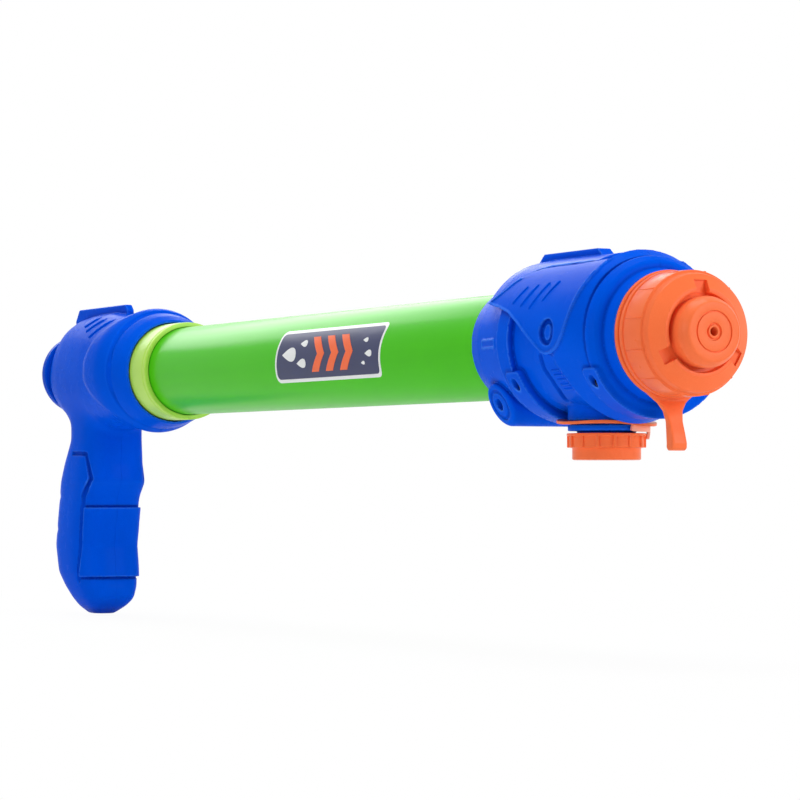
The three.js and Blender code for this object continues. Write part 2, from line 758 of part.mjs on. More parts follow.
const topPost = post(topScrewX, topScrewZ, -reach, reach, postDiameter / 2).intersect(hoodTurn);
const fillBoss = upright(fillX, [
  [-tubeR / 2, 0], [-tubeR / 2, fillBossDiameter / 2], [fillBossEnd, fillBossDiameter / 2], [fillBossEnd, 0],
]);
const pads = shortScrews.map(({ x, face, pad, side }) => {
  return post(x, earZ, side * face, side * pad, screwPadDiameter / 2);
});
const ribMarks = [1, -1].map((side) => {
  const climb = (ribMarkSetback + ribMarkLength / 2) / coneLength;
  const outer = THREE.MathUtils.lerp(coneR, recessR, climb) + ribMarkRise;
  const rear = coneStart + ribMarkSetback;
  return block(rear, rear + ribMarkLength, Math.min(side * tubeR, side * outer),
    Math.max(side * tubeR, side * outer), -ribMarkWidth / 2, ribMarkWidth / 2);
});
const frontWall = shellFace - shellWall;
const hollow = turned([
  [coneStart, 0], [coneStart, coneR - shellWall], [sleeveRear - shellAir, sleeveR + seatGap],
  [rearHoop, shellInnerR], [bezelStart, shellInnerR], [bezelStart + hoopSlope, bezelR - shellWall],
  [frontWall, bezelR - bezelTaper - shellWall], [frontWall, 0],
]);
const keelSeat = keelHalfLength - keelHeadDepth;
const topSeat = Math.sqrt(hoodR ** 2 - topScrewZ ** 2) - topScrewHeadDepth;
const longScrews = [
  { x: keelX, z: keelZ, seat: keelSeat },
  { x: topScrewX, z: topScrewZ, seat: topSeat },
];
const earRoom = [
  post(rearEar.x, earZ, -rearEar.face - seatGap, rearEar.face + seatGap, earDiameter / 2 + seatGap),
  block(frontEar.x - earBar / 2 - seatGap, frontEar.x + earBar / 2 + seatGap, -frontEar.face - seatGap,
    frontEar.face + seatGap, earZ - earBar / 2 - seatGap, 0),
];
const shellSkin = join([housing, hood, shield, rail, fillBoss, ...ribMarks]).subtract(hollow);
const shellSolid = cut(join([shellSkin, keel, topPost, ...pads]), [
  rod(0, tubeLength, tubeR + seatGap),
  rod(sleeveRear - seatGap, sleeveFront + seatGap, sleeveR + seatGap),
  rod(sleeveFront, 2 * reach, neckR + neckShoulder + seatGap),
  upright(fillX, [[0, 0], [0, fillSleeveR + seatGap], [-reach, fillSleeveR + seatGap], [-reach, 0]]),
  ...earRoom,
  ...shortRooms,
  ...longScrews.map(({ x, z, seat }) => screwRoom(x, z, seat, seat + longScrewPast, -1)),
]);
add('front_shell_left', leftHalf(shellSolid), 'blue');
add('front_shell_right', rightHalf(shellSolid), 'blue');
shortScrews.forEach(({ x, seat, length, side }, i) => {
  screw(`ear_screw_${i + 1}`, x, earZ, seat, length, side);
});
longScrews.forEach(({ x, z, seat }, i) => {
  screw(`shell_screw_${i + 1}`, x, z, seat, seat + longScrewPast, -1);
});

// Lock ring behind the nozzle, with a thumb tab that hangs down
const leverR = leverDiameter / 2;
const leverBoreR = neckR + neckShoulder + seatGap;
const leverFront = leverRear + leverThickness;
const tabFront = leverRear + leverTabThickness;
const tab = plate([
  [leverRear, -leverBoreR - leverThickness], [leverFront, -leverBoreR - leverThickness],
  [leverFront, -leverR], [tabFront, -leverR - leverThickness],
  [tabFront + leverLean, -leverTabDrop + leverFootHeight],
  [leverRear + leverLean + leverFootDepth, -leverTabDrop + leverThickness],
  [leverRear + leverLean + leverFootDepth, -leverTabDrop], [leverRear + leverLean, -leverTabDrop],
  [leverRear, -leverR - leverThickness],
], -leverTabWidth / 2, leverTabWidth / 2);
const flareShape = new THREE.Shape([
  new THREE.Vector2(-leverFlare, -leverR + leverThickness),
  new THREE.Vector2(leverFlare, -leverR + leverThickness),
  new THREE.Vector2(leverTabWidth / 2, -leverR - leverFlare),
  new THREE.Vector2(-leverTabWidth / 2, -leverR - leverFlare),
]);
const flareSlab = new THREE.ExtrudeGeometry(flareShape, { depth: leverThickness, bevelEnabled: false });
const flare = solid(flareSlab.rotateX(Math.PI / 2).rotateZ(Math.PI / 2).translate(leverRear, 0, 0));
const leverRing = turnedRing([
  [leverRear, leverBoreR], [leverRear, leverR], [leverFront, leverR], [leverFront, leverBoreR],
]);
add('nozzle_lock_ring', join([leverRing, tab, flare]), 'orange');

// Nozzle cap, the tip that it holds and the gasket inside
const capR = capDiameter / 2;
const capBoreR = neckR + threadHeight + 2 * seatGap;
const capFrontR = capFrontDiameter / 2;
const tipHoleR = tipSpigotDiameter / 2 + seatGap;
const capShoulderX = capRear + capSideLength;
const capBody = turnedRing([
  [capRear, capBoreR], [capRear, capR], [capShoulderX, capR - capTaper],
  [capFace - capRidgeSetback, capR - capRidgeDrop], [capFace, capFrontR], [capFace, tipHoleR],
  [capInner, tipHoleR], [capInner, capBoreR],
]);
const lugR = tipDiameter / 2 + lugReach;

function lugs(clearance) {
  const half = lugWidth / 2 + clearance;
  const floor = capFace - lugDepth - clearance;
  const lug = block(floor, capFace + seatGap + lugDepth / 2, -half, half, tipHoleR / 2, lugR + clearance);
  return Array.from({ length: lugCount }, (unused, i) => lug.rotate([(360 / lugCount) * i, 0, 0]));
}

add('nozzle_cap', cut(capBody, lugs(seatGap)), 'orange');
const tipRear = capInner + seatGap;
const tipBase = capFace + seatGap;
const tipR = tipDiameter / 2;
const tipFaceR = tipFaceDiameter / 2;
const tipBody = turnedRing([
  [tipRear, orificeDiameter / 2], [tipRear, tipSpigotDiameter / 2], [tipBase, tipSpigotDiameter / 2],
  [tipBase, tipR], [tipBase + tipLength / 3, tipR - tipDish / 4],
  [nozzleFace - tipLength / 4, (tipR + tipFaceR) / 2], [nozzleFace, tipFaceR],
  [nozzleFace, tipDishDiameter / 2], [nozzleFace - tipDish, tipDishDiameter / 2],
  [nozzleFace - tipDish, orificeDiameter / 2],
]);
add('nozzle_tip', join([tipBody, ...lugs(0)]), 'orange');
const gasketRear = neckEnd + seatGap;
add('nozzle_gasket', turnedRing([
  [gasketRear, nozzleGasketBore / 2], [gasketRear, neckR],
  [gasketRear + nozzleGasketThickness, neckR], [gasketRear + nozzleGasketThickness, nozzleGasketBore / 2],
]), 'rubber');

// Fill cap with flutes, its gasket and the tether that keeps it
const bandShape = new THREE.Shape();
const fillCapR = fillCapDiameter / 2;
const flutePoints = fillCapFlutes * 4;
for (let i = 0; i < flutePoints; i += 1) {
  const r = i % 4 < 2 ? fillCapR : fillCapR - fillCapFluteDepth;
  const angle = (i / flutePoints) * 2 * Math.PI;
  bandShape[i === 0 ? 'moveTo' : 'lineTo'](r * Math.cos(angle), r * Math.sin(angle));
}
const bandSlab = new THREE.ExtrudeGeometry(bandShape, { depth: fillCapBand, bevelEnabled: false });
const band = solid(bandSlab.translate(fillX, 0, fillCapTop - fillCapBand));
const drumR = fillCapDrumDiameter / 2;
const drumTop = fillCapTop - fillCapBand + fillCapWall;
const drum = upright(fillX, [[drumTop, 0], [drumTop, drumR], [fillCapBase, drumR], [fillCapBase, 0]]);
const fillCapBoreR = fillNeckR + threadHeight + 2 * seatGap;
const fillWell = upright(fillX, [
  [reach, 0], [reach, fillCapBoreR], [fillCapInner, fillCapBoreR], [fillCapInner, 0],
]);
add('fill_cap', band.add(drum).subtract(fillWell), 'orange');
const fillGasketTop = fillNeckEnd - seatGap;
add('fill_gasket', upright(fillX, [
  [fillGasketTop, fillBore / 2], [fillGasketTop, fillNeckR], [fillGasketTop - fillGasketThickness, fillNeckR],
  [fillGasketTop - fillGasketThickness, fillBore / 2], [fillGasketTop, fillBore / 2],
]), 'rubber');
const tetherR = tetherDiameter / 2;
add('tether_ring', upright(fillX, [
  [tetherTop, fillSleeveR + seatGap], [tetherTop, tetherR], [tetherUnder, tetherR],
  [tetherUnder, fillSleeveR + seatGap], [tetherTop, fillSleeveR + seatGap],
]), 'orange');
const strapTop = tetherUnder - seatGap;
const strapInner = fillCapR + seatGap;
const strapEnd = fillCapTop - strapDrop;
const strapBend = strapTop - strapThickness;
const strapOutline = [
  [strapInner, strapEnd], [strapInner + strapThickness, strapEnd], [strapInner + strapThickness, strapBend],
  [strapInner + strapLand, strapBend], [strapInner + strapLand, strapTop], [strapInner, strapTop],
];
const strap = plate(strapOutline, -strapWidth / 2, strapWidth / 2)
  .rotate([0, 0, strapAngle]).translate(fillX, 0, 0);
add('tether_strap', strap, 'orange');

// The origin lies under the middle of the object's length, level with the foot of the grip.
squirter.position.set(-(nozzleFace + rearFace) / 2, 0, gripDrop);

export default squirter;
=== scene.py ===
import math

import bmesh
import bpy
import numpy as np
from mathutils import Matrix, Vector


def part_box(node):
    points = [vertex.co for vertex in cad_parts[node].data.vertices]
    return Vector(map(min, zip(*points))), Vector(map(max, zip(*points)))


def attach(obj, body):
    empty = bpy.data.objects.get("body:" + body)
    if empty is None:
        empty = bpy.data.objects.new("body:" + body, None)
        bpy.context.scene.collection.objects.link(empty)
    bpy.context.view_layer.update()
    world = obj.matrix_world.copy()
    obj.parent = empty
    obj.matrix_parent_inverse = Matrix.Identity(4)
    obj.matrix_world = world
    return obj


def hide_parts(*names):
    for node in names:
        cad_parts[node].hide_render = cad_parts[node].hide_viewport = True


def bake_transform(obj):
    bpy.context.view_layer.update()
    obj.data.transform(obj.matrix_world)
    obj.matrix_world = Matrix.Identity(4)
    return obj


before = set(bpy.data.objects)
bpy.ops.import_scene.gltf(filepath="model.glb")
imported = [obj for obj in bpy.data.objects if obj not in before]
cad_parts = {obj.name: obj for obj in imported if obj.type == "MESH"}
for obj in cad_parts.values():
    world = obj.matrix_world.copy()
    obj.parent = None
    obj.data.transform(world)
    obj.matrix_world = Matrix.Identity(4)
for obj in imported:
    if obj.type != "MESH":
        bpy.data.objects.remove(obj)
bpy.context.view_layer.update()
print("frame loaded:", len(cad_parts), "nodes")

# Shapes are written in millimetres: x forward from the tube's rear end, z up from the barrel axis.
tubeRear = np.array([-180.05, 0, 126])


def toFrame(points):
    return (np.asarray(points, float) + tubeRear) / 1000


# Shader sums: a socket that takes part in Python expressions
class Wire:
    def __init__(self, tree, socket=None):
        self.tree = tree
        self.socket = socket

    def node(self, kind, settings=None, values=None, output=0):
        made = self.tree.nodes.new(kind)
        for name, setting in (settings or {}).items():
            setattr(made, name, setting)
        for name, value in (values or {}).items():
            if isinstance(value, Wire):
                self.tree.links.new(value.socket, made.inputs[name])
            else:
                made.inputs[name].default_value = value
        return Wire(self.tree, made.outputs[output])

    def sum(self, operation, first, second):
        return self.node("ShaderNodeMath", {"operation": operation}, {0: first, 1: second})

    def __add__(self, other):
        return self.sum("ADD", self, other)

    def __radd__(self, other):
        return self.sum("ADD", other, self)

    def __sub__(self, other):
        return self.sum("SUBTRACT", self, other)

    def __rsub__(self, other):
        return self.sum("SUBTRACT", other, self)

    def __mul__(self, other):
        return self.sum("MULTIPLY", self, other)

    def __rmul__(self, other):
        return self.sum("MULTIPLY", other, self)

    def mix(self, share, first, second):  # colours
        return self.node("ShaderNodeMix", {"data_type": "RGBA"}, {0: share, 6: first, 7: second}, 2)

    def noise(self, scale, detail):  # self holds the coordinates
        return self.node("ShaderNodeTexNoise", None, {"Vector": self, "Scale": scale, "Detail": detail})


def linear(code):  # a written colour such as "0a49d6" as the shader wants it
    parts = [int(code[i:i + 2], 16) / 255 for i in (0, 2, 4)]
    return [p / 12.92 if p <= 0.04045 else ((p + 0.055) / 1.055) ** 2.4 for p in parts] + [1.0]


def freshMaterial(name):
    material = bpy.data.materials.new(name)
    material.use_nodes = True
    tree = material.node_tree
    tree.nodes.clear()
    shader = tree.nodes.new("ShaderNodeBsdfPrincipled")
    output = tree.nodes.new("ShaderNodeOutputMaterial")
    tree.links.new(shader.outputs[0], output.inputs[0])
    return material, tree, shader


def dress(tree, shader, color, rough, bump, fixed):  # fixed: what is the same all over
    for label, wire in {"Base Color": color, "Roughness": rough, "Normal": bump}.items():
        tree.links.new(wire.socket, shader.inputs[label])
    for label, value in fixed.items():
        shader.inputs[label].default_value = value


def mouldedPlastic(name, look):
    material, tree, shader = freshMaterial(name)
    at = Wire(tree).node("ShaderNodeTexCoord", output=3)
    cloud = at.noise(look["cloud"], 3.0)
    speck = at.noise(look["grain"], 2.0)
    scuff = at.noise(look["scuff"], 5.0)
    tone = cloud * 0.7 + speck * 0.3
    color = tone.mix(tone, linear(look["deep"]), linear(look["color"]))
    for mark, (share, tint) in look["paintedLightMarks"].items():  # painted shade darkens the valleys and a painted highlight lightens the edges
        paintedLightAmount = at.node("ShaderNodeAttribute", {"attribute_name": mark}, output=2)
        color = color.mix(paintedLightAmount * share, color, linear(tint))
    rough = look["rough"] + (scuff - 0.5) * look["roughSwing"] + (cloud - 0.5) * look["cloudSwing"]
    height = speck * 0.7 + scuff * 0.3
    bump = at.node("ShaderNodeBump", None,
                   {"Strength": look["bump"], "Distance": look["bumpDeep"], "Height": height})
    dress(tree, shader, color, rough, bump, {"Specular IOR Level": look["gloss"], "Metallic": look["metal"]})
    return material


moulded = {"rough": 0.3, "roughSwing": 0.12, "cloudSwing": 0.06, "cloud": 25.0, "grain": 1500.0,
           "scuff": 160.0, "bump": 0.25, "bumpDeep": 0.00006, "gloss": 0.3, "metal": 0.0, "paintedLightMarks": {}}
# painted shade: dark blue in the valleys; painted highlight: light blue on the edges
blueShell = {**moulded, "rough": 0.26, "cloud": 18.0,
             "paintedLightMarks": {"paintedShade": (0.85, "00289c"), "edge": (0.7, "4a92ff")}}
ink = {**moulded, "roughSwing": 0.08, "cloud": 40.0, "grain": 1800.0, "bump": 0.1}
plasticLooks = {
    "blue": {**blueShell, "color": "0064f4", "deep": "0046d2", "gloss": 0.009},
    "gripBlue": {**blueShell, "color": "0060f0", "deep": "0044cc", "gloss": 0.006},
    "endBlue": {**moulded, "color": "0052d8", "deep": "003cb4", "gloss": 0.02},
    "orange": {**moulded, "color": "ff824e", "deep": "f8662f", "gloss": 0.14},
    "strap": {**moulded, "color": "ffb69c", "deep": "f39a7c", "rough": 0.45, "roughSwing": 0.1, "cloud": 60.0,
              "bump": 0.2},
    "lime": {**moulded, "color": "c0ea60", "deep": "a8dc4c", "rough": 0.35, "roughSwing": 0.1, "cloud": 30.0,
             "bump": 0.2, "gloss": 0.35},
    "white": {**moulded, "color": "ececea", "deep": "dcdedc", "rough": 0.45, "roughSwing": 0.1, "cloud": 20.0,
              "grain": 1200.0},
    "rubber": {**moulded, "color": "2a2b2d", "deep": "1b1c1e", "rough": 0.75, "roughSwing": 0.15,
               "cloud": 60.0, "grain": 900.0, "bump": 0.4},
    "steel": {**moulded, "color": "50545c", "deep": "3a3d44", "rough": 0.38, "roughSwing": 0.2,
              "cloud": 120.0, "grain": 2500.0, "bump": 0.2, "metal": 1.0},
    "navy": {**ink, "color": "16245c", "deep": "101c4c"},
    "print": {**ink, "color": "f2f3f2", "deep": "e6e9ea"},
    "amber": {**ink, "color": "ff6a1e", "deep": "f05a10"},
}
plastic = {name: mouldedPlastic(name + "Plastic", look) for name, look in plasticLooks.items()}

tubeLook = {"color": "4ccc00", "deep": "40bc00", "cloud": 9.0, "cloudDraw": 2.0, "streaks": 240.0,
            "streakDraw": 0.03, "rough": 0.32, "roughSwing": 0.1, "bump": 0.12, "bumpDeep": 0.00005,
            "shine": {"Specular IOR Level": 0.02, "Coat Weight": 0.2, "Coat Roughness": 0.2,
                      "Sheen Weight": 0.03, "Sheen Roughness": 0.4}}


def tubePlastic(look):
    material, tree, shader = freshMaterial("tubePlastic")
    at = Wire(tree).node("ShaderNodeTexCoord", output=3)
    wide, thin = [at.node("ShaderNodeMapping", None, {"Vector": at, "Scale": (look[draw], 1.0, 1.0)})
                  for draw in ("cloudDraw", "streakDraw")]  # drawn out lengthwise
    cloud = wide.noise(look["cloud"], 2.0)
    streak = thin.noise(look["streaks"], 3.0)
    color = cloud.mix(cloud * 0.6 + streak * 0.4, linear(look["deep"]), linear(look["color"]))
    rough = look["rough"] + (streak - 0.5) * look["roughSwing"]
    bump = at.node("ShaderNodeBump", None,
                   {"Strength": look["bump"], "Distance": look["bumpDeep"], "Height": streak})
    dress(tree, shader, color, rough, bump, look["shine"])
    return material


plastic["green"] = tubePlastic(tubeLook)
print("materials:", len(plastic))


# Meshes
def linked(name, data):  # a new object in the scene
    made = bpy.data.objects.new(name, data)
    bpy.context.scene.collection.objects.link(made)
    return made


def shade(mesh, sharp):  # smooth, apart from edges sharper than the angle
    mesh.shade_smooth()
    mesh.set_sharp_from_angle(angle=math.radians(sharp))


def newPiece(name, points, faces, material, sharp=40):
    mesh = bpy.data.meshes.new(name)
    mesh.from_pydata(points.tolist(), [], faces.tolist() if hasattr(faces, "tolist") else faces)
    mesh.update()
    shade(mesh, sharp)
    mesh.materials.append(material)
    return linked(name, mesh)


def tidyMesh(piece, sharp=40):  # closes seams and poles and turns faces outwards
    shape = bmesh.new()
    shape.from_mesh(piece.data)
    bmesh.ops.remove_doubles(shape, verts=shape.verts, dist=1e-6)
    bmesh.ops.dissolve_degenerate(shape, edges=shape.edges, dist=1e-7)
    bmesh.ops.recalc_face_normals(shape, faces=shape.faces)
    shape.to_mesh(piece.data)
    shape.free()
    shade(piece.data, sharp)
    return piece


def settle(piece, body, slot, *nodes):
    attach(piece, body)
    if nodes:
        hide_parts(*nodes)
    return piece


def eased(profile, radius, steps=4, closed=True):  # rounds a profile's corners
    made = []
    count = len(profile)
    for i, point in enumerate(profile):
        here = np.array(point[:2], float)
        if not closed and i in (0, count - 1):
            made.append(here)
            continue
        before = np.array(profile[i - 1][:2], float) - here
        after = np.array(profile[(i + 1) % count][:2], float) - here
        reach = min(np.linalg.norm(before), np.linalg.norm(after)) * 0.45  # room for both ends
        cut = min(point[2] if len(point) > 2 else radius, reach)
        start = here + before / np.linalg.norm(before) * cut
        end = here + after / np.linalg.norm(after) * cut
        for t in np.linspace(0, 1, steps + 1):
            made.append((1 - t) ** 2 * start + 2 * t * (1 - t) * here + t * t * end)
    return np.array(made)


def strips(rows, count, first=0, closed=False):  # faces between neighbouring rings of points
    faces = []
    for i in range(rows if closed else rows - 1):
        a, b = first + i * count, first + (i + 1) % rows * count
        for j in range(count):
            k = (j + 1) % count
            faces.append([a + j, a + k, b + k, b + j])
    return faces


def turned(name, profile, material, count, closed=True, shift=None, upright=None, sharp=40, lift=0.0):
    # profile: distance along the axis and radius; upright: x of an upright axis instead of the barrel's
    angles = np.linspace(0, 2 * math.pi, count, endpoint=False)
    along = np.repeat(profile[:, :1], count, 1)
    radius = np.repeat(profile[:, 1:2], count, 1)
    turn = np.repeat(angles[None], len(profile), 0)
    if shift:
        along, radius = shift(along, radius, turn)
    c, s = radius * np.cos(turn), radius * np.sin(turn)
    spots = np.stack([along, s, c + lift], 2) if upright is None else np.stack([upright + c, s, along], 2)
    faces = strips(len(profile), count, closed=closed)
    return tidyMesh(newPiece(name, toFrame(spots.reshape(-1, 3)), faces, material), sharp)


# Distance fields: a form gives a distance at x, s (away from the middle plane) and z
def softMin(a, b, k):
    h = np.clip(0.5 + 0.5 * (b - a) / k, 0, 1)
    return b + (a - b) * h - k * h * (1 - h)


def softMax(a, b, k):
    return -softMin(-a, -b, k)


def most(first, *others):  # what all the forms share
    for other in others:
        first = np.maximum(first, other)
    return first


def corner(a, b):  # distance to two sides with a round corner between them
    return np.hypot(np.maximum(a, 0), np.maximum(b, 0)) + np.minimum(np.maximum(a, b), 0)


def outline(points, u, v):  # distance to a closed outline, below zero inside
    near = np.full(u.shape, 1e9, np.float32)
    inside = np.zeros(u.shape, bool)
    for i in range(len(points)):
        (au, av), (bu, bv) = points[i - 1], points[i]
        eu, ev = bu - au, bv - av
        wu, wv = u - au, v - av
        share = np.clip((wu * eu + wv * ev) / (eu * eu + ev * ev), 0, 1)
        near = np.minimum(near, (wu - eu * share) ** 2 + (wv - ev * share) ** 2)
        if ev:
            inside ^= ((av > v) != (bv > v)) & (u < au + wv * eu / ev)
    return np.where(inside, -1, 1) * np.sqrt(near)


def path(points, x, s, z):  # distance to an open line in space
    near = np.full(np.shape(x), 1e9, np.float32)
    for a, b in zip(points, points[1:]):
        ex, es, ez = b[0] - a[0], b[1] - a[1], b[2] - a[2]
        wx, ws, wz = x - a[0], s - a[1], z - a[2]
        share = np.clip((wx * ex + ws * es + wz * ez) / (ex * ex + es * es + ez * ez), 0, 1)
        near = np.minimum(near, (wx - ex * share) ** 2 + (ws - es * share) ** 2 + (wz - ez * share) ** 2)
    return np.sqrt(near)


def softCurve(stations, values, width, step=0.25):  # a line through the values with its corners eased
    fine = np.arange(stations[0] - 20, stations[-1] + 20, step)
    kernel = np.hanning(max(3, int(width / step)))
    pad = len(kernel)
    line = np.pad(np.interp(fine, stations, values), pad, "edge")
    eased = np.convolve(line, kernel / kernel.sum(), "same")[pad:-pad]
    return lambda x: np.interp(x, fine, eased).astype(np.float32)


def ontoForm(form, spots, axes, step, rounds, nudge, flat):  # moves spots along the axes onto the surface
    for _ in range(rounds):
        here = form(*spots.T)
        sides = [np.eye(3)[axis] * nudge * step for axis in axes]
        slope = [form(*(spots + aside).T) - form(*(spots - aside).T) for aside in sides]
        slope = np.stack(slope, 1) / (2 * nudge * step)
        move = -here[:, None] * slope / np.maximum((slope ** 2).sum(1), flat)[:, None]
        spots[:, axes] += np.clip(move, -0.3 * step, 0.3 * step)
    return spots


def netMesh(form, low, high, step):
    axes = [np.arange(a, b + step, step, dtype=np.float32) for a, b in zip(low, high)]
    value = form(*np.meshgrid(*axes, indexing="ij"))
    inside = value < 0
    size = [n - 1 for n in value.shape]
    corners = [(i, j, k) for i in (0, 1) for j in (0, 1) for k in (0, 1)]
    full = sum(inside[i:i + size[0], j:j + size[1], k:k + size[2]].astype(np.int8)
               for i, j, k in corners)
    cells = np.argwhere((full > 0) & (full < 8))
    number = np.full(size, -1, np.int32)
    number[tuple(cells.T)] = np.arange(len(cells))
    spots = np.zeros((len(cells), 3))
    hits = np.zeros(len(cells))
    for corner in corners:
        for axis in range(3):
            if corner[axis]:
                continue
            a = value[tuple((cells + corner).T)]
            step1 = np.eye(3, dtype=int)[axis]
            b = value[tuple((cells + corner + step1).T)]
            hit = (a < 0) != (b < 0)
            share = np.where(hit, a / np.where(hit, a - b, 1), 0)
            spots[hit] += (cells + corner + share[:, None] * step1)[hit]
            hits[hit] += 1
    spots = spots / hits[:, None] * step + np.array(low)
    spots = ontoForm(form, spots, [0, 1, 2], step, 2, 0.25, 0.3)
    faces = []
    for axis in range(3):
        b, c = [np.eye(3, dtype=int)[(axis + k) % 3] for k in (1, 2)]
        first = np.moveaxis(inside, axis, 0)
        changed = np.argwhere(np.moveaxis(first[:-1] != first[1:], 0, axis))
        ok = np.ones(len(changed), bool)
        for other in ((axis + 1) % 3, (axis + 2) % 3):
            ok &= (changed[:, other] > 0) & (changed[:, other] < size[other])
        changed = changed[ok]
        round4 = (changed, changed - b, changed - b - c, changed - c)
        quad = np.stack([number[tuple(p.T)] for p in round4], 1)
        outward = inside[tuple(changed.T)]
        faces.append(np.where(outward[:, None], quad, quad[:, ::-1]))
    return spots, np.concatenate(faces)


def paintedLightMarks(form, spots, deep=1.8, keen=0.6, nudge=0.15):  # how far each spot lies in a valley or on an edge: masks for painted shade in the valleys and a painted highlight on the edges
    sides = np.eye(3) * nudge
    slope = np.stack([form(*(spots + a).T) - form(*(spots - a).T) for a in sides], 1) / (2 * nudge)
    size = np.maximum(np.linalg.norm(slope, axis=1), 0.2)
    out = slope / size[:, None]
    here = form(*spots.T)
    above = (form(*(spots + out * deep).T) - here) / (deep * size)
    below = (form(*(spots - out * keen).T) - here) / (keen * size)
    return {"paintedShade": np.clip(1 - above, 0, 1), "edge": np.clip(1 + below, 0, 1)}


def formPiece(name, form, low, high, step, material, side=0, seam=None):
    step = step * 1
    if seam is None:
        spots, faces = netMesh(form, low, high, step)
    else:
        spots, faces = netMesh(lambda x, s, z: np.maximum(form(x, s, z), seam - s), low, high, step)
        layer = low[1] + step * (math.floor((seam - low[1]) / step) + 1)
        flat = np.flatnonzero(spots[:, 1] < layer)
        spots[flat, 1] = seam
        edge = flat[np.abs(form(*spots[flat].T)) < 0.8 * step]
        spots[edge] = ontoForm(form, spots[edge], [0, 2], step, 4, 0.2, 0.2)  # a crisp edge at the seam
    # masks for painted shade in the valleys and a painted highlight on the edges, kept on the mesh for the
    # material
    marks = paintedLightMarks(form, spots)
    if side < 0:
        spots = spots * np.array([1, -1, 1])
        faces = faces[:, ::-1]
    piece = newPiece(name, toFrame(spots), faces, material, 60)
    for label, row in marks.items():
        mark = piece.data.attributes.new(label, "FLOAT", "POINT")
        mark.data.foreach_set("value", row.astype(np.float32))
    return piece


# Geometry Nodes: trees for what repeats
def growthTree(name, sizes):
    tree = bpy.data.node_groups.new(name, "GeometryNodeTree")
    for label, kind in {"Geometry": "Geometry", **sizes, "Material": "Material"}.items():
        tree.interface.new_socket(label, in_out="INPUT", socket_type="NodeSocket" + kind)
    tree.interface.new_socket("Geometry", in_out="OUTPUT", socket_type="NodeSocketGeometry")
    start = tree.nodes.new("NodeGroupInput")
    return tree, {socket.name: Wire(tree, socket) for socket in start.outputs if socket.name}


def closeTree(tree, shape, material):
    whole = shape.node("GeometryNodeRealizeInstances", None, {"Geometry": shape})
    done = whole.node("GeometryNodeSetMaterial", None, {"Geometry": whole, "Material": material})
    end = tree.nodes.new("NodeGroupOutput")
    tree.links.new(done.socket, end.inputs[0])


def plainMesh(piece):  # the evaluated shape as a mesh of its own
    graph = bpy.context.evaluated_depsgraph_get()
    mesh = bpy.data.meshes.new_from_object(piece.evaluated_get(graph))
    piece.modifiers.clear()
    piece.data = mesh
    mesh.name = piece.name
    return piece


def bevelled(piece, width, material):  # width in millimetres
    edge = piece.modifiers.new("edges", "BEVEL")
    edge.width = width / 1000
    edge.segments = 2
    edge.limit_method = "ANGLE"
    edge.angle_limit = math.radians(35)
    plainMesh(piece)
    piece.data.materials.clear()
    piece.data.materials.append(material)
    shade(piece.data, 30)
    return piece


def grown(name, tree, values, points=((0, 0, 0),), edges=(), marks=None):
    base = bpy.data.meshes.new(name + "Base")
    base.from_pydata(points, edges, [])
    for label, rows in (marks or {}).items():
        mark = base.attributes.new(label, "FLOAT_VECTOR", "POINT")
        mark.data.foreach_set("vector", np.array(rows, float).ravel())
    piece = linked(name, base)
    growth = piece.modifiers.new("growth", "NODES")
    growth.node_group = tree
    sockets = [i for i in tree.interface.items_tree if i.item_type == "SOCKET" and i.in_out == "INPUT"]
    keys = {socket.name: socket.identifier for socket in sockets}
    for label, value in values.items():
        growth[keys[label]] = value
    plainMesh(piece)
    shade(piece.data, 35)
    return piece


def ribRingTree():  # bars that stand round a ring
    sizes = dict.fromkeys(("Radius", "Length", "Width", "Rise"), "Float")
    tree, put = growthTree("ribRing", {"Count": "Int", **sizes, "Turn": "Vector", "Place": "Vector"})
    start = put["Count"]
    ring = start.node("GeometryNodeMeshCircle", None, {"Vertices": start, "Radius": put["Radius"]})
    size = ring.node("ShaderNodeCombineXYZ", None, {0: put["Rise"], 1: put["Width"], 2: put["Length"]})
    bar = ring.node("GeometryNodeMeshCube", None, {"Size": size})
    outward = ring.node("GeometryNodeInputPosition")
    facing = ring.node("FunctionNodeAlignRotationToVector", {"axis": "X", "pivot_axis": "Z"},
                       {"Vector": outward})
    bars = ring.node("GeometryNodeInstanceOnPoints", None,
                     {"Points": ring, "Instance": bar, "Rotation": facing})
    stood = ring.node("GeometryNodeTransform", None,
                      {"Geometry": bars, "Rotation": put["Turn"], "Translation": put["Place"]})
    closeTree(tree, stood, put["Material"])
    return tree


def sweptRibTree():  # round ribs along drawn lines
    tree, put = growthTree("sweptRib", {"Thickness": "Float", "Sides": "Int"})
    lines = put["Geometry"].node("GeometryNodeMeshToCurve", None, {"Mesh": put["Geometry"]})
    ring = lines.node("GeometryNodeCurvePrimitiveCircle", None,
                      {"Resolution": put["Sides"], "Radius": put["Thickness"]})
    ribs = lines.node("GeometryNodeCurveToMesh", None,
                      {"Curve": lines, "Profile Curve": ring, "Fill Caps": True})
    closeTree(tree, ribs, put["Material"])
    return tree


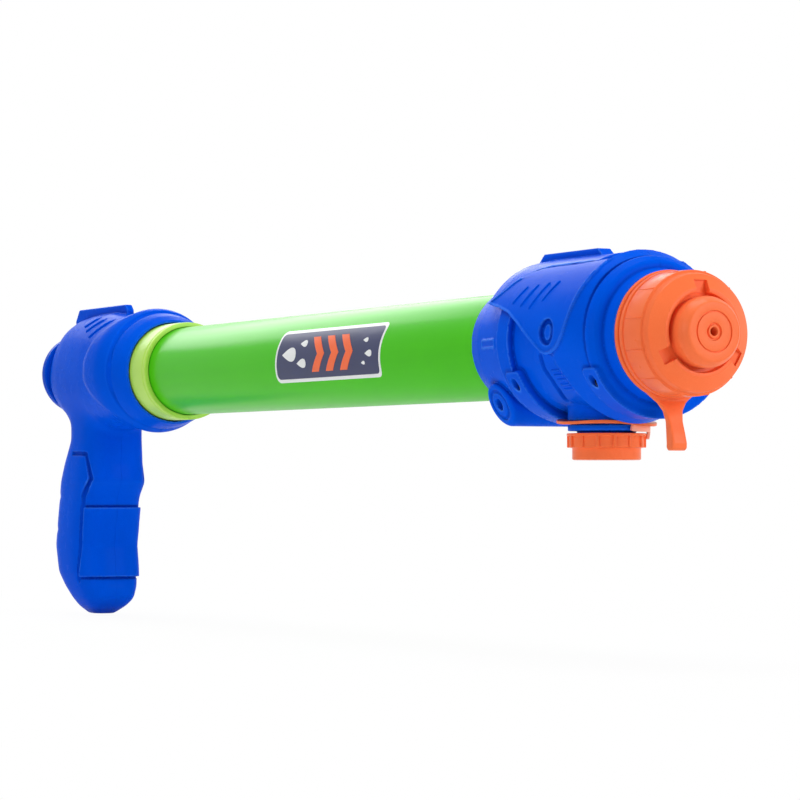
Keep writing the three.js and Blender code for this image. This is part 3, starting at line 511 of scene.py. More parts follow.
def screwHeadTree():  # heads with a crossed recess, one at each point
    sizes = ("Head Radius", "Head Height", "Slot Width", "Slot Depth")
    tree, put = growthTree("screwHead", dict.fromkeys(sizes, "Float"))
    radius, height, wide, depth = [put[size] for size in sizes]
    head = height.node("GeometryNodeMeshCone", {"fill_type": "NGON"}, {
        "Vertices": 32, "Radius Top": radius * 0.82, "Radius Bottom": radius, "Depth": height})
    below = height.node("ShaderNodeCombineXYZ", None, {2: 0.0 - height})
    head = height.node("GeometryNodeTransform", None, {"Geometry": head, "Translation": below})
    long = radius * 1.2  # the slots stop short of the rim
    for across, along in ((wide, long), (long, wide)):
        size = height.node("ShaderNodeCombineXYZ", None, {0: across, 1: along, 2: depth * 2.0})
        slot = height.node("GeometryNodeMeshCube", None, {"Size": size})
        head = head.node("GeometryNodeMeshBoolean", {"operation": "DIFFERENCE"},
                         {"Mesh 1": head, "Mesh 2": slot})
    aim = height.node("GeometryNodeInputNamedAttribute", {"data_type": "FLOAT_VECTOR"}, {"Name": "aim"})
    facing = height.node("FunctionNodeAlignRotationToVector", {"axis": "Z"}, {"Vector": aim})
    heads = height.node("GeometryNodeInstanceOnPoints", None,
                        {"Points": put["Geometry"], "Instance": head, "Rotation": facing})
    closeTree(tree, heads, put["Material"])
    return tree


ringTree, ribTree, screwTree = ribRingTree(), sweptRibTree(), screwHeadTree()


def ribRing(name, count, sizes, turn, place, material, edge):  # sizes, place and edge in millimetres
    values = {label: size / 1000 for label, size in sizes.items()}
    values.update({"Count": count, "Turn": turn, "Place": toFrame(place), "Material": material})
    return bevelled(grown(name, ringTree, values), edge, material)


def sweptRibs(name, lines, thick, material):  # lines and thickness in millimetres
    points, edges = [], []
    for line in lines:
        first = len(points)
        points += toFrame(line).tolist()
        edges += [(first + i, first + i + 1) for i in range(len(line) - 1)]
    values = {"Thickness": thick / 1000, "Sides": 12, "Material": material}
    return grown(name, ribTree, values, points, edges)


def laidOn(surface, lines, count=9, sink=1.2):  # lines on both sides of a surface, with their ends sunk in
    made = []
    for side in (1, -1):
        for (x0, z0), (x1, z1) in lines:
            spots = []
            for t in np.linspace(0, 1, count):
                x, z = x0 + (x1 - x0) * t, z0 + (z1 - z0) * t
                aside, up = surface(x, z, sink if t in (0, 1) else 0)
                spots.append((x, side * aside, up))
            made.append(spots)
    return made


# Barrel tube and rear collar
tube = {"length": 400.0, "radius": 22.0, "wall": 2.0, "edge": 0.5}


def makeTube(t):
    outer, inner, end = t["radius"], t["radius"] - t["wall"], t["length"]
    profile = eased([(0, inner), (0, outer), (end, outer), (end, inner)], t["edge"])
    return turned("barrelTube", profile, plastic["green"], 160)


settle(makeTube(tube), "barrel", "green_tube", "barrel_tube")

collar = {"rear": -5.3, "front": 20.0, "radius": 24.6, "bore": 22.3, "hole": 11.3, "floor": -0.3, "edge": 0.9,
          "groove": 0.35, "grooveBack": 3.0, "grooveWide": 0.8, "grooveSide": 0.4}


def makeCollar(c):
    front, outer, low = c["front"], c["radius"], c["radius"] - c["groove"]
    rear, fore = front - c["grooveBack"], front - c["grooveBack"] + c["grooveWide"]
    profile = [
        (c["rear"], c["hole"], 0.3), (c["rear"], outer, 0.8), (rear - c["grooveSide"], outer, 0.2),
        (rear, low, 0.2), (fore, low, 0.2), (fore + c["grooveSide"], outer, 0.2), (front, outer, c["edge"]),
        (front, c["bore"], 0.2), (c["floor"], c["bore"], 0.2), (c["floor"], c["hole"], 0.3),
    ]
    return turned("rearCollar", eased(profile, 0.4), plastic["lime"], 160)


settle(makeCollar(collar), "barrel", "lime_collar", "rear_collar")
print("tube and collar done")

# Front housing, right and left halves
housing = {
    "step": 0.585, "seam": 0.03, "low": (352.5, -0.8, -35), "high": (465.5, 35.5, 37.5),
    "profile": [(354, -9), (354, 24.2), (362, 26), (388, 29.5), (451, 29.5), (452.6, 30.2), (453.6, 30.9),
                (455.2, 30.6), (457.2, 29.0), (458.0, 27.8), (458.3, 25.8), (462.9, 25.0), (464, 24.5),
                (464, -9)],
    "hollow": [(362, -9), (362, 23.1), (375.1, 25.3), (388, 26.6), (447.2, 26.6), (456, 25.2), (461.1, 22.8),
               (461.1, -9)],
    "bores": [(22.3, 300, 400), (25.3, 376.7, 405.9), (15.8, 405, 500)],  # radius, rear, front
    "crest": ([-33, -24, -16, -9, -6.6, -4.6, -3.1, 0.5, 6.2, 12.4, 19.7, 25, 34],
              [441, 437, 434, 431.5, 432.5, 436, 438.8, 442, 444.4, 446.2, 448, 448.4, 447.2]),
    "crestR": ([-33, -24, -16, -9, -5, 1], [33.4, 32.4, 31.7, 32.3, 33.3, 33.7]),
    "nose": {"start": 427.6, "end": 452.6, "endR": 30.4, "square": 0.88, "leanFrom": -7, "leanGain": 0.042,
             "leanLeast": 0.25, "leanMost": 0.5, "lineBack": 0.2, "lineR": 30.7, "line": 0.8},
    "band": {"rear": 388.0, "front": 396.7, "radius": 32.2, "top": 13.0},
    "crescent": [(416.6, 28.6, -7.3), (416.6, 27.2, -11.5), (418.4, 24.7, -16.1), (418.6, 21.4, -20.3),
                 (416.8, 17.3, -23.9)],
    "crescentR": 1.4,
    "pads": [{"x": 396.2, "screwX": 395.6, "radius": 32.9, "half": 5.4, "seat": 24.4},
             {"x": 452.4, "screwX": 451.8, "radius": 31.8, "half": 5.0, "seat": 23.5}],
    "padZ": -17.5, "padTop": 5.4, "padBend": 2.4,
    "fill": {"x": 419.0, "radius": 15.2, "hole": 14.0, "foot": -31.7, "top": -11},
    "hood": [(369.6, -9), (369.6, 25), (370.6, 28.4), (373.2, 31.2), (377.5, 32.8), (383, 33.2), (438, 33.2),
             (440, 30), (440, -9)],
    "hoodFloor": ([370, 378.4, 383.4, 391, 398, 440], [16.8, 15.4, 14.0, 12.4, 10.5, 10.5]),
    "shield": [(378.4, 15.4), (379.8, 16.3), (386.6, 20.4), (391.5, 24.6), (396.5, 27.2), (404, 28.4),
               (431, 28.6), (448.6, 29.5), (449.2, 24.7), (448.4, 19.7), (446.5, 12.4), (444.6, 6.2),
               (442.2, 0.5), (438.9, -3.1), (436.1, -5.0), (432.4, -6.4), (428.4, -6.9), (425.1, -6.0),
               (420.8, -3.4), (414.5, 0.9), (406.9, 5.9), (398.1, 10.5), (390, 12.9), (383.4, 14.2)],
    "shieldR": 34.0, "rimR": 0.5, "rimTop": 25,
    "line": {"deep": 0.55, "gap": 0.4, "low": 14.5, "rise": 3, "end": 440, "fade": 8},
    "oval": {"x": 429.5, "z": 1.8, "long": 5.3, "tall": 5.1, "floor": 32.2, "pinLong": 2.2, "pinTall": 3.2,
             "pinR": 33.2},
    "rail": [(371.9, 20), (371.9, 32.6), (376.2, 36), (417.4, 36), (422, 32.4), (422, 20)], "railHalf": 3,
    "keel": {"x": 370.6, "z": -24.8, "radius": 8.6, "half": 20.5, "tilt": 25.0, "bend": 1.8, "ringR": 5.4,
             "ring": 0.6, "screw": (370.0, -24.6, 16.5)},
    "rib": {"x": 373.3, "z": -0.5, "long": 6.0, "tall": 1.15, "bend": 0.4, "bead": 0.42},
    "topScrew": (374.5, 26.6, 10.87), "well": 2.3, "shank": 1.8, "shankDeep": 10,
}
crestAt, crestR = [softCurve(np.array(a, float), np.array(b, float), 2.5)
                   for a, b in (housing["crest"], housing["crestR"])]


def noseRise(x, z):  # radius of the slope that climbs to the nose's crest
    n = housing["nose"]
    lean = np.clip(n["leanLeast"] - (z - n["leanFrom"]) * n["leanGain"], n["leanLeast"], n["leanMost"])
    return crestR(z) - (crestAt(z) - x) * lean


def frontForm(side):
    h = housing
    nose, band, fill, line, oval, keel, rib = [h[key] for key in (
        "nose", "band", "fill", "line", "oval", "keel", "rib")]
    tilt = math.radians(keel["tilt"])
    wells = [(pad["screwX"], h["padZ"], pad["seat"]) for pad in h["pads"]]
    if side < 0:
        wells += [keel["screw"], h["topScrew"]]

    def form(x, s, z):
        r = np.hypot(s, z)
        turn = np.arctan2(z, np.maximum(s, 1e-6))
        d = outline(h["profile"], x, r)
        crest, top = crestAt(z), crestR(z)
        fall = top + (x - crest) * (nose["endR"] - top) / (nose["end"] - crest)
        slope = (r - np.where(x < crest, noseRise(x, z), fall)) * nose["square"]
        d = softMin(d, most(slope, x - nose["end"], nose["start"] - x), 0.3)
        ahead = x - nose["end"] + nose["lineBack"]
        d = softMax(d, nose["line"] - np.hypot(ahead, r - nose["lineR"]), 0.3)  # behind the nose's ring
        d = softMin(d, most(r - band["radius"], band["rear"] - x, x - band["front"], z - band["top"]), 0.25)
        d = softMax(d, -(path(h["crescent"], x, s, z) - h["crescentR"]), 0.5)
        for pad in h["pads"]:  # straps that run down from a rounded pad
            arc = pad["radius"] * (turn - math.asin(h["padZ"] / pad["radius"]))
            across, above = np.abs(x - pad["x"]) - pad["half"], arc - h["padTop"]
            strap = corner(across + h["padBend"], above + h["padBend"]) - h["padBend"]
            d = softMin(d, softMax(strap, r - pad["radius"], 0.25), 0.3)
        across = np.hypot(x - fill["x"], s)
        d = softMin(d, most(across - fill["radius"], z - fill["top"], fill["foot"] - z), 0.5)
        hood = np.maximum(outline(h["hood"], x, r), np.interp(x, *h["hoodFloor"]) - z)
        d = softMin(d, hood, 0.4)
        panel = outline(h["shield"], x, z)
        d = softMin(d, np.maximum(r - h["shieldR"], panel), 0.15)
        deep = line["deep"] * np.clip((z - line["low"]) / line["rise"], 0, 1)
        deep = deep * np.clip((line["end"] - x) / line["fade"], 0, 1)
        d = softMax(d, deep - np.hypot(d, panel - line["gap"]), 0.2)  # line above the shield
        rim = np.hypot(panel + h["rimR"], r - h["shieldR"]) - h["rimR"]
        d = softMin(d, np.maximum(rim, z - h["rimTop"]), 0.2)
        ox, oz = x - oval["x"], z - oval["z"]
        dish = (np.hypot(ox / oval["long"], oz / oval["tall"]) - 1) * oval["tall"]
        d = softMax(d, -np.maximum(dish, oval["floor"] - r), 0.3)
        pin = (np.hypot(ox / oval["pinLong"], oz / oval["pinTall"]) - 1) * oval["pinLong"]
        d = softMin(d, np.maximum(pin, r - oval["pinR"]), 0.3)
        d = softMin(d, np.maximum(outline(h["rail"], x, z), s - h["railHalf"]), 0.5)
        away = np.hypot(x - keel["x"], z - keel["z"])
        level = (s - keel["half"]) * math.cos(tilt) - (z - keel["z"]) * math.sin(tilt)
        boss = corner(away - keel["radius"] + keel["bend"], level + keel["bend"]) - keel["bend"]
        d = softMin(d, boss, 0.8)
        d = softMax(d, keel["ring"] - np.hypot(away - keel["ringR"], level), 0.3)
        mark = corner(np.abs(x - rib["x"]) - rib["long"], np.abs(z - rib["z"]) - rib["tall"]) - rib["bend"]
        d = softMin(d, np.hypot(d, mark) - rib["bead"], 0.25)
        d = np.maximum(d, -outline(h["hollow"], x, r))
        for bore, rear, front in h["bores"]:
            d = np.maximum(d, -most(r - bore, rear - x, x - front))
        d = np.maximum(d, -np.maximum(across - fill["hole"], z))
        for wx, wz, seat in wells:
            away = np.hypot(x - wx, z - wz)
            d = softMax(d, -np.maximum(away - h["well"], seat - s), 0.3)
            d = np.maximum(d, -np.maximum(away - h["shank"], h["shankDeep"] - s))
        return d

    return form


def shellPair(title, node, formFor, sizes, material, body):  # the left half and the right half
    for side, name in ((1, "left"), (-1, "right")):
        shell = formPiece(title + name.title(), formFor(side), sizes["low"], sizes["high"], sizes["step"],
                          material, side, sizes["seam"])
        settle(shell, body, "blue_plastic", node + name)
        print(title, name, len(shell.data.polygons))


shellPair("frontShell", "front_shell_", frontForm, housing, plastic["blue"], "barrel")

# Raised trim on the front housing: slats below the shield and slanted bars on it
frontTrim = {
    "Slats": {"thick": 0.6, "radius": lambda x, z: max(29.45, float(noseRise(x, z))),
              "lines": [((420.6, -12.7), (432.5, -12.7)), ((421.1, -14.5), (433.2, -14.5)),
                        ((421.7, -16.3), (433.5, -16.3)), ((422.4, -18.1), (433.4, -18.1)),
                        ((423.0, -19.8), (432.6, -19.8))]},
    "Bars": {"thick": 0.6, "radius": lambda x, z: 33.95,
             "lines": [((398.5, 13.5), (405, 21.5)), ((405.5, 12), (413, 22)), ((412.5, 10.5), (421, 22.5)),
                       ((421, 13.5), (428.2, 22.5))]},
}


def onDrum(radiusAt):
    def surface(x, z, sink):
        reach = radiusAt(x, z)
        turn = math.asin(z / reach)
        reach -= sink
        return reach * math.cos(turn), reach * math.sin(turn)

    return surface


for kind, t in frontTrim.items():
    made = sweptRibs("front" + kind, laidOn(onDrum(t["radius"]), t["lines"]), t["thick"], plastic["blue"])
    settle(made, "barrel", "blue_plastic")
print("front trim done")

# Handle, right and left halves
handle = {
    "step": 0.665, "seam": 0.03, "low": (-127.5, -0.8, -127.5), "high": (3.5, 35, 39),
    "rows": [  # station, height above the axis, height below it, half width
        (-122.3, 23.5, 18.9, 18.4), (-119.5, 27.2, 20.6, 19.4), (-115, 30.2, 23.2, 20.6),
        (-106, 32.2, 26.8, 21.8), (-88, 33.2, 27.8, 23.4), (-69, 33.4, 28.2, 24.6), (-54, 32, 28.6, 25.2),
        (-42, 30.6, 28.4, 26.0), (-28, 30.4, 28.4, 28.0), (-16, 31.2, 29.0, 30.0), (-10, 30.4, 28.6, 29.6),
        (-4, 28.8, 27.6, 28.3), (2, 26.2, 26.2, 26.2)],
    "hoop": {"radius": 33.2, "rise": 1.4, "middle": -27.0, "front": -13.6, "bowBack": 0.003,
             "bowFront": 0.016, "backR": 25.9, "backSlope": 0.44, "backSquare": 0.91, "frontSquare": 0.9},
    "hoopRear": ([-36, -30, -24, -17, -11, -4, 6.6, 16, 21.7, 26, 29.5, 33],
                 [-36, -34, -34, -45, -52, -57, -57, -53.5, -49, -40, -35, -34]),
    "crease": {"x": -12.6, "radius": 30.6, "rise": 0.9, "deep": 1.0, "sideDeep": 1.2, "sideZ": -2,
               "sideWide": 10, "topDeep": 0.8, "topZ": 18, "topFade": 5},
    "grip": [  # height, middle, half depth, half width
        (-8, -87.5, 20.9, 16.3), (-34, -87.5, 20.9, 16.3), (-46.6, -91.3, 23.7, 17.9), (-56, -92.4, 26.2, 19),
        (-64.9, -96.9, 24.4, 18.2), (-76.9, -99.5, 24.5, 18.2), (-90, -102, 24.5, 18.2),
        (-104, -99, 23.7, 17.9), (-111.5, -94.5, 21.7, 16.3), (-118, -91.2, 18.2, 13.9),
        (-122.5, -92.2, 13.6, 10.4), (-125, -93.2, 9, 7), (-126, -93.5, 7, 5.4)],
    "gripTop": -8, "foot": -126, "gripPower": 3,
    "notches": [(-64, 1.1), (-81.5, 1.1)], "notchWide": 1.6,  # height and depth
    "groove": [(-92.7, 17.1, -40.8), (-82.9, 17.0, -40.9), (-76.9, 16.0, -41.2), (-72.5, 14.6, -54.3),
               (-79.9, 16.3, -63.5), (-81.2, 16.3, -70.8), (-83.2, 16.2, -82.8), (-85.5, 16.8, -108.0)],
    "grooveR": ([-70, -45], [1.5, 1.0]),
    "pad": [(-81.0, -69.4), (-40, -69.4), (-40, -105.6), (-85.3, -106.4), (-83.0, -82.8)],
    "padRise": 1.1, "padLine": 0.5,
    "fin": [(-55, 0), (-55, 34.3), (-58, 37.3), (-121, 37.3), (-126, 31.3), (-121, 0)], "finHalf": 2,
    "bores": [(25.2, -6.3), (8.3, -70)],  # radius and rear end
    "screws": [(-97, 10.5, 9.75), (-106, -9.75, 9.75), (-93.5, -63, 9.5), (-98.5, -103, 9.5)], "well": 2.9,
}


def handleForm(side):
    h = handle
    hoop, crease = h["hoop"], h["crease"]
    stations, over, under, wide = [np.array(c, float) for c in zip(*h["rows"])]
    overAt, underAt, wideAt = [softCurve(stations, v, 5) for v in (over, under, wide)]
    levels, ahead, deep, broad = [np.array(c, float)[::-1] for c in zip(*h["grip"])]
    aheadAt, deepAt, broadAt = [softCurve(levels, v, 7) for v in (ahead, deep, broad)]
    rearAt = softCurve(*[np.array(c, float) for c in h["hoopRear"]], 6)
    power = h["gripPower"]

    def form(x, s, z):
        a, b = np.where(z > 0, overAt(x), underAt(x)), wideAt(x)
        body = (np.hypot(s / b, z / a) - 1) * np.minimum(a, b)
        d = softMax(body, np.maximum(x - stations[-1], stations[0] - x), 0.8)
        away = x - hoop["middle"]
        crown = hoop["radius"] - np.where(away < 0, hoop["bowBack"], hoop["bowFront"]) * away ** 2
        r = np.hypot(s, z - hoop["rise"])
        slope = (r - hoop["backR"] - (x - rearAt(z)) * hoop["backSlope"]) * hoop["backSquare"]
        ring = softMax(r - crown, np.maximum(slope, (x - hoop["front"]) * hoop["frontSquare"]), 1.6)
        d = softMin(d, ring, 0.8)
        onSide = np.exp(-((z - crease["sideZ"]) / crease["sideWide"]) ** 2)
        onTop = np.clip((z - crease["topZ"]) / crease["topFade"], 0, 1)
        sunk = crease["deep"] + crease["sideDeep"] * onSide + crease["topDeep"] * onTop
        r = np.hypot(s, z - crease["rise"])
        d = softMax(d, sunk - np.hypot(x - crease["x"], r - crease["radius"]), 0.7)
        dent = sum(depth * np.exp(-((z - level) / h["notchWide"]) ** 2) for level, depth in h["notches"])
        near, far, aside = aheadAt(z) + dent / 2, deepAt(z) - dent / 2, broadAt(z)
        ring = ((np.abs(x - near) / far) ** power + (np.abs(s) / aside) ** power) ** (1 / power)
        grip = (ring - 1) * np.minimum(far, aside)
        grip = softMax(grip, np.maximum(h["foot"] - z, z - h["gripTop"]), 1.5)
        pad = outline(h["pad"], x, z)
        grip = softMin(grip, softMax(grip - h["padRise"], pad, 0.4), 0.4)
        grip = softMax(grip, h["padLine"] - np.hypot(grip, pad - h["padLine"]), 0.3)  # line round the pad
        grip = softMax(grip, np.interp(z, *h["grooveR"]) - path(h["groove"], x, s, z), 0.5)
        d = softMin(d, grip, 5.0)
        d = softMin(d, softMax(outline(h["fin"], x, z), s - h["finHalf"], 0.5), 0.5)
        r = np.hypot(s, z)
        for bore, rear in h["bores"]:
            d = np.maximum(d, -np.maximum(r - bore, rear - x))
        if side > 0:
            for wx, wz, seat in h["screws"]:
                away = np.hypot(x - wx, z - wz)
                d = softMax(d, -np.maximum(away - h["well"], seat - s), 0.3)
        return d

    return form


shellPair("handleShell", "handle_shell_", handleForm, handle, plastic["gripBlue"], "handle")

handleTrim = {"lines": [((-82, 25.5), (-73, 30.5)), ((-74, 22.5), (-62, 29.5)), ((-65, 19), (-51, 28.5))],
              "thick": 0.8}
plainHandle = handleForm(-1)


def onHandle(x, z, sink):  # the first spot inside the shell, from outside
    aside = np.linspace(40, 0, 1601)
    inside = plainHandle(np.full_like(aside, x), aside, np.full_like(aside, z)) < 0
    return aside[np.argmax(inside)] - sink, z


ribLines = laidOn(onHandle, handleTrim["lines"])
settle(sweptRibs("handleRibs", ribLines, handleTrim["thick"], plastic["gripBlue"]), "handle", "blue_plastic")

endCap = {"rear": -135.0, "rim": -122.6, "radius": 21.0, "dish": 1.2, "lift": 2.4}


def makeEndCap(e):
    rear = e["rear"]
    profile = [
        (rear + e["dish"], 0, 0), (rear + e["dish"], 9.5, 0.4), (rear, 10.5, 0.4), (rear, 13.6, 1.0),
        (rear + 3.0, 18.6, 2.0), (rear + 7, e["radius"], 2.0), (e["rim"] - 0.6, e["radius"], 0.4),
        (e["rim"], e["radius"] - 0.6, 0.2), (e["rim"], 0, 0),
    ]
    return turned("handleEndCap", eased(profile, 0.5, closed=False), plastic["endBlue"], 96, closed=False,
                  lift=e["lift"])


settle(makeEndCap(endCap), "handle", "blue_plastic", "handle_end_cap")
print("handle done")

# Nozzle: lock ring with its thumb tab, cap and tip
lockRing = {"rear": 464.3, "thick": 2.0, "outer": 24.7, "bore": 15.8, "step": 0.42,
            "low": (463.4, -26, -45.2), "high": (473.4, 26, 26),
            "tab": [(464.3, -18), (466.3, -18), (466.3, -24.8), (467.2, -27), (469.2, -33), (470.8, -37.6),
                    (471.8, -41), (471.6, -43.2), (470.4, -44), (468, -44), (467, -43), (466.6, -39),
                    (466, -33), (464.9, -28), (464.3, -25)],
            "wide": ([-44.5, -40, -33, -29, -26, -23.5, -20], [3.5, 3.3, 3.2, 4.0, 6.1, 9.2, 11.5])}


def lockForm(x, s, z):
    k = lockRing
    r = np.hypot(s, z)
    flat = np.abs(x - k["rear"] - k["thick"] / 2) - k["thick"] / 2
    ring = softMax(flat, np.maximum(r - k["outer"], k["bore"] - r), 0.5)
    tab = softMax(outline(k["tab"], x, z), np.abs(s) - np.interp(z, *k["wide"]), 1.0)
    return softMin(ring, tab, 1.0)


ringPiece = formPiece("lockRing", lockForm, lockRing["low"], lockRing["high"], lockRing["step"],
                      plastic["orange"])
settle(ringPiece, "lock_ring", "orange_plastic", "nozzle_lock_ring")

nozzle = {"rear": 466.6, "face": 487.6, "outer": 24.0, "bore": 16.2, "floor": 481.6, "hole": 9.3,
          "ridge": 22.2, "ridgeSetback": 3.4, "lip": 16.8, "grooveR": 15.2, "groove": 3.2,
          "slots": (0, 120, 240), "slot": (13.8, 19.8, 5.8, 3.0), "tip": 495.1, "bossR": 13.5, "marks": 12,
          "markPhase": 16.5, "markStart": 3.6, "markSink": 0.3, "markLength": 10.6, "markWidth": 0.7,
          "markRise": 0.9}


def slotCutter(n):  # a box for each slot
    low, high, wide, deep = n["slot"]
    points, faces = [], []
    for middle in n["slots"]:
        c, s = math.cos(math.radians(middle)), math.sin(math.radians(middle))
        first = len(points)
        for along in (n["face"] - deep, n["face"] + 4):  # from the slot's floor to well past the face
            for r, aside in ((low, -wide / 2), (high, -wide / 2), (high, wide / 2), (low, wide / 2)):
                points.append((along, r * s + aside * c, r * c - aside * s))
        for face in ((0, 1, 2, 3), (7, 6, 5, 4), (0, 4, 5, 1), (1, 5, 6, 2), (2, 6, 7, 3), (3, 7, 4, 0)):
            faces.append([first + i for i in face])
    return tidyMesh(newPiece("slotCutter", toFrame(points), faces, plastic["orange"]))


def makeCap(n):
    rear, face, outer = n["rear"], n["face"], n["outer"]
    ridge, floor = face - n["ridgeSetback"], face - n["groove"]
    profile = eased([
        (rear, n["bore"], 0.3), (rear, outer - 0.3, 0.2), (rear + 0.4, outer + 0.2, 0.2),
        (rear + 2.3, outer + 0.2, 0.2), (rear + 2.6, outer - 0.5, 0.1), (rear + 3.0, outer - 0.5, 0.1),
        (rear + 3.3, outer, 0.2), (rear + 14.5, outer - 0.2, 0.3), (rear + 14.8, n["ridge"] + 0.6, 0.2),
        (ridge - 0.5, n["ridge"] + 0.2, 0.15), (ridge, n["ridge"], 0.2), (face - 0.3, n["lip"] + 0.3, 0.2),
        (face, n["lip"], 0.3), (face, n["grooveR"], 0.3), (floor, n["grooveR"] - 0.2, 0.2),
        (floor, n["hole"], 0.2), (n["floor"], n["hole"], 0.2), (n["floor"], n["bore"], 0.3),
    ], 0.3)
    cap = turned("nozzleCap", profile, plastic["orange"], 180, sharp=30)
    cutter = slotCutter(n)
    slots = cap.modifiers.new("slots", "BOOLEAN")
    slots.operation = "DIFFERENCE"
    slots.solver = "EXACT"
    slots.object = cutter
    plainMesh(cap)
    bpy.data.objects.remove(cutter)
    return tidyMesh(cap, 30)


settle(makeCap(nozzle), "nozzle", "orange_plastic", "nozzle_cap")


def makeMarks(n):
    sizes = {"Radius": n["outer"] - n["markSink"], "Length": n["markLength"], "Width": n["markWidth"],
             "Rise": n["markRise"]}
    quarter = math.pi / 2
    turn = (quarter, quarter - math.radians(n["markPhase"]), quarter)
    place = [n["rear"] + n["markStart"] + n["markLength"] / 2, 0, 0]
    return ribRing("capMarks", n["marks"], sizes, turn, place, plastic["orange"], 0.15)


settle(makeMarks(nozzle), "nozzle", "orange_plastic")


def makeTip(n):
    base, face, boss = n["face"], n["tip"], n["bossR"]
    profile = eased([
        (n["floor"] + 0.3, 1.6, 0.1), (n["floor"] + 0.3, 9.0, 0.3), (base - n["groove"] + 0.2, 9.0, 0.1),
        (base - n["groove"] + 0.2, boss - 0.2, 0.2), (base + 3.4, boss, 0.5), (base + 5.4, boss - 0.7, 0.6),
        (face, 11.2, 0.6),
        (face, 8.0, 0.1), (face - 0.6, 7.9, 0.1), (face - 0.6, 7.4, 0.1), (face - 0.05, 7.3, 0.1),
        (face - 0.05, 3.4, 0.2), (face - 0.9, 3.2, 0.15), (face - 0.9, 2.6, 0.15), (face - 0.1, 2.4, 0.1),
        (face - 0.1, 1.7, 0.15), (face - 0.6, 1.6, 0.1),
    ], 0.3)
    return turned("nozzleTip", profile, plastic["orange"], 128, sharp=30)


settle(makeTip(nozzle), "nozzle", "orange_plastic", "nozzle_tip")
print("nozzle done")

# Fill cap, tether ring and strap below the housing
fillCap = {"x": 419.0, "top": -36.8, "band": 5.6, "radius": 15.45, "drum": 13.5, "base": -47.3, "bore": 13.1,
           "inner": -44.3, "ribs": 14, "ribWidth": 1.3, "ribRise": 1.5, "ribTurn": 0.11, "core": 14.75}


def makeFillCap(f):
    top, low, lip = f["top"], f["top"] - f["band"], f["radius"] + 0.2
    profile = eased([
        (top, f["bore"], 0.2), (top, lip, 0.4), (top - 1.0, lip, 0.2), (top - 1.3, f["core"], 0.2),
        (low, f["core"], 0.3), (low - 0.2, f["drum"], 0.3),
        (f["base"] + 0.3, f["drum"], 0.3), (f["base"], f["drum"] - 0.7, 0.3), (f["base"], 0, 0),
        (f["inner"], 0, 0), (f["inner"], f["bore"], 0.4),
    ], 0.3)
    return turned("fillCap", profile, plastic["orange"], 112, upright=f["x"])


settle(makeFillCap(fillCap), "fill_lid", "orange_plastic", "fill_cap")


def makeFlutes(f):
    sizes = {"Radius": f["core"], "Length": f["band"] - 0.8, "Width": f["ribWidth"], "Rise": f["ribRise"]}
    place = [f["x"], 0, f["top"] - f["band"] / 2 - 0.4]
    return ribRing("fillCapRibs", f["ribs"], sizes, (0, 0, f["ribTurn"]), place, plastic["orange"], 0.2)


settle(makeFlutes(fillCap), "fill_lid", "orange_plastic")

tether = {"x": 419.0, "top": -32.0, "thick": 1.2, "bore": 14.0, "radius": 19.7, "dip": 1.7,
          "strapTall": 3.0, "strapThick": 1.3,
          "strap": [  # turn, radius, height
              (3, 16.9, -34.3), (9, 16.6, -34.7), (20, 16.5, -34.8), (36, 16.5, -34.8), (50, 16.5, -34.9),
              (57, 16.5, -35.5), (60.5, 16.4, -36.7), (61.5, 16.2, -38.3), (61.5, 16.0, -39.2)]}


def makeTether(t):
    low = t["top"] - t["thick"]
    profile = eased([(t["top"], t["bore"]), (t["top"], 16.5), (t["top"], t["radius"]), (low, t["radius"]),
                     (low, 16.5), (low, t["bore"])], 0.25)

    def wave(along, radius, turn):  # the loose rim droops towards the strap and lifts on the other side
        loose = np.clip((radius - 15.6) / 4, 0, 1) ** 1.5
        return along - loose * t["dip"] * (0.35 * np.cos(turn - 0.4) + 0.3 * np.sin(3 * turn)), radius

    return turned("tetherRing", profile, plastic["orange"], 120, upright=t["x"], shift=wave)


def makeStrap(t):
    turns, radii, heights = [np.array(c, float) for c in zip(*t["strap"])]
    fine = np.linspace(0, len(turns) - 1, 60)
    soft = np.hanning(9) / np.hanning(9).sum()
    curves = [np.interp(fine, range(len(c)), c) for c in (np.radians(turns), radii, heights)]
    turns, radii, heights = [np.convolve(np.pad(c, 4, "edge"), soft, "valid") for c in curves]
    line = np.stack([t["x"] + radii * np.cos(turns), radii * np.sin(turns), heights], 1)
    along = np.gradient(line, axis=0)
    along /= np.linalg.norm(along, axis=1)[:, None]
    out = np.stack([np.cos(turns), np.sin(turns), 0 * turns], 1)
    across = np.cross(along, out)
    across /= np.linalg.norm(across, axis=1)[:, None]
    tall, thick = t["strapTall"] / 2, t["strapThick"] / 2
    section = eased([(-tall, -thick), (tall, -thick), (tall, thick), (-tall, thick)], 0.4, 3)
    rings = [spot + section[:, :1] * a + section[:, 1:] * o for spot, a, o in zip(line, across, out)]
    rows, count = len(line), len(section)
    faces = strips(rows, count)
    faces.append(list(range(count)))
    faces.append([(rows - 1) * count + j for j in range(count)])
    piece = newPiece("tetherStrap", toFrame(np.concatenate(rings)), faces, plastic["strap"])
    return tidyMesh(piece), line[0], line[-1]


settle(makeTether(tether), "fill_tether", "orange_plastic", "tether_ring")
strap, upper, lower = makeStrap(tether)
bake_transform(strap)
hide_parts("tether_strap")
print("fill cap and tether done")

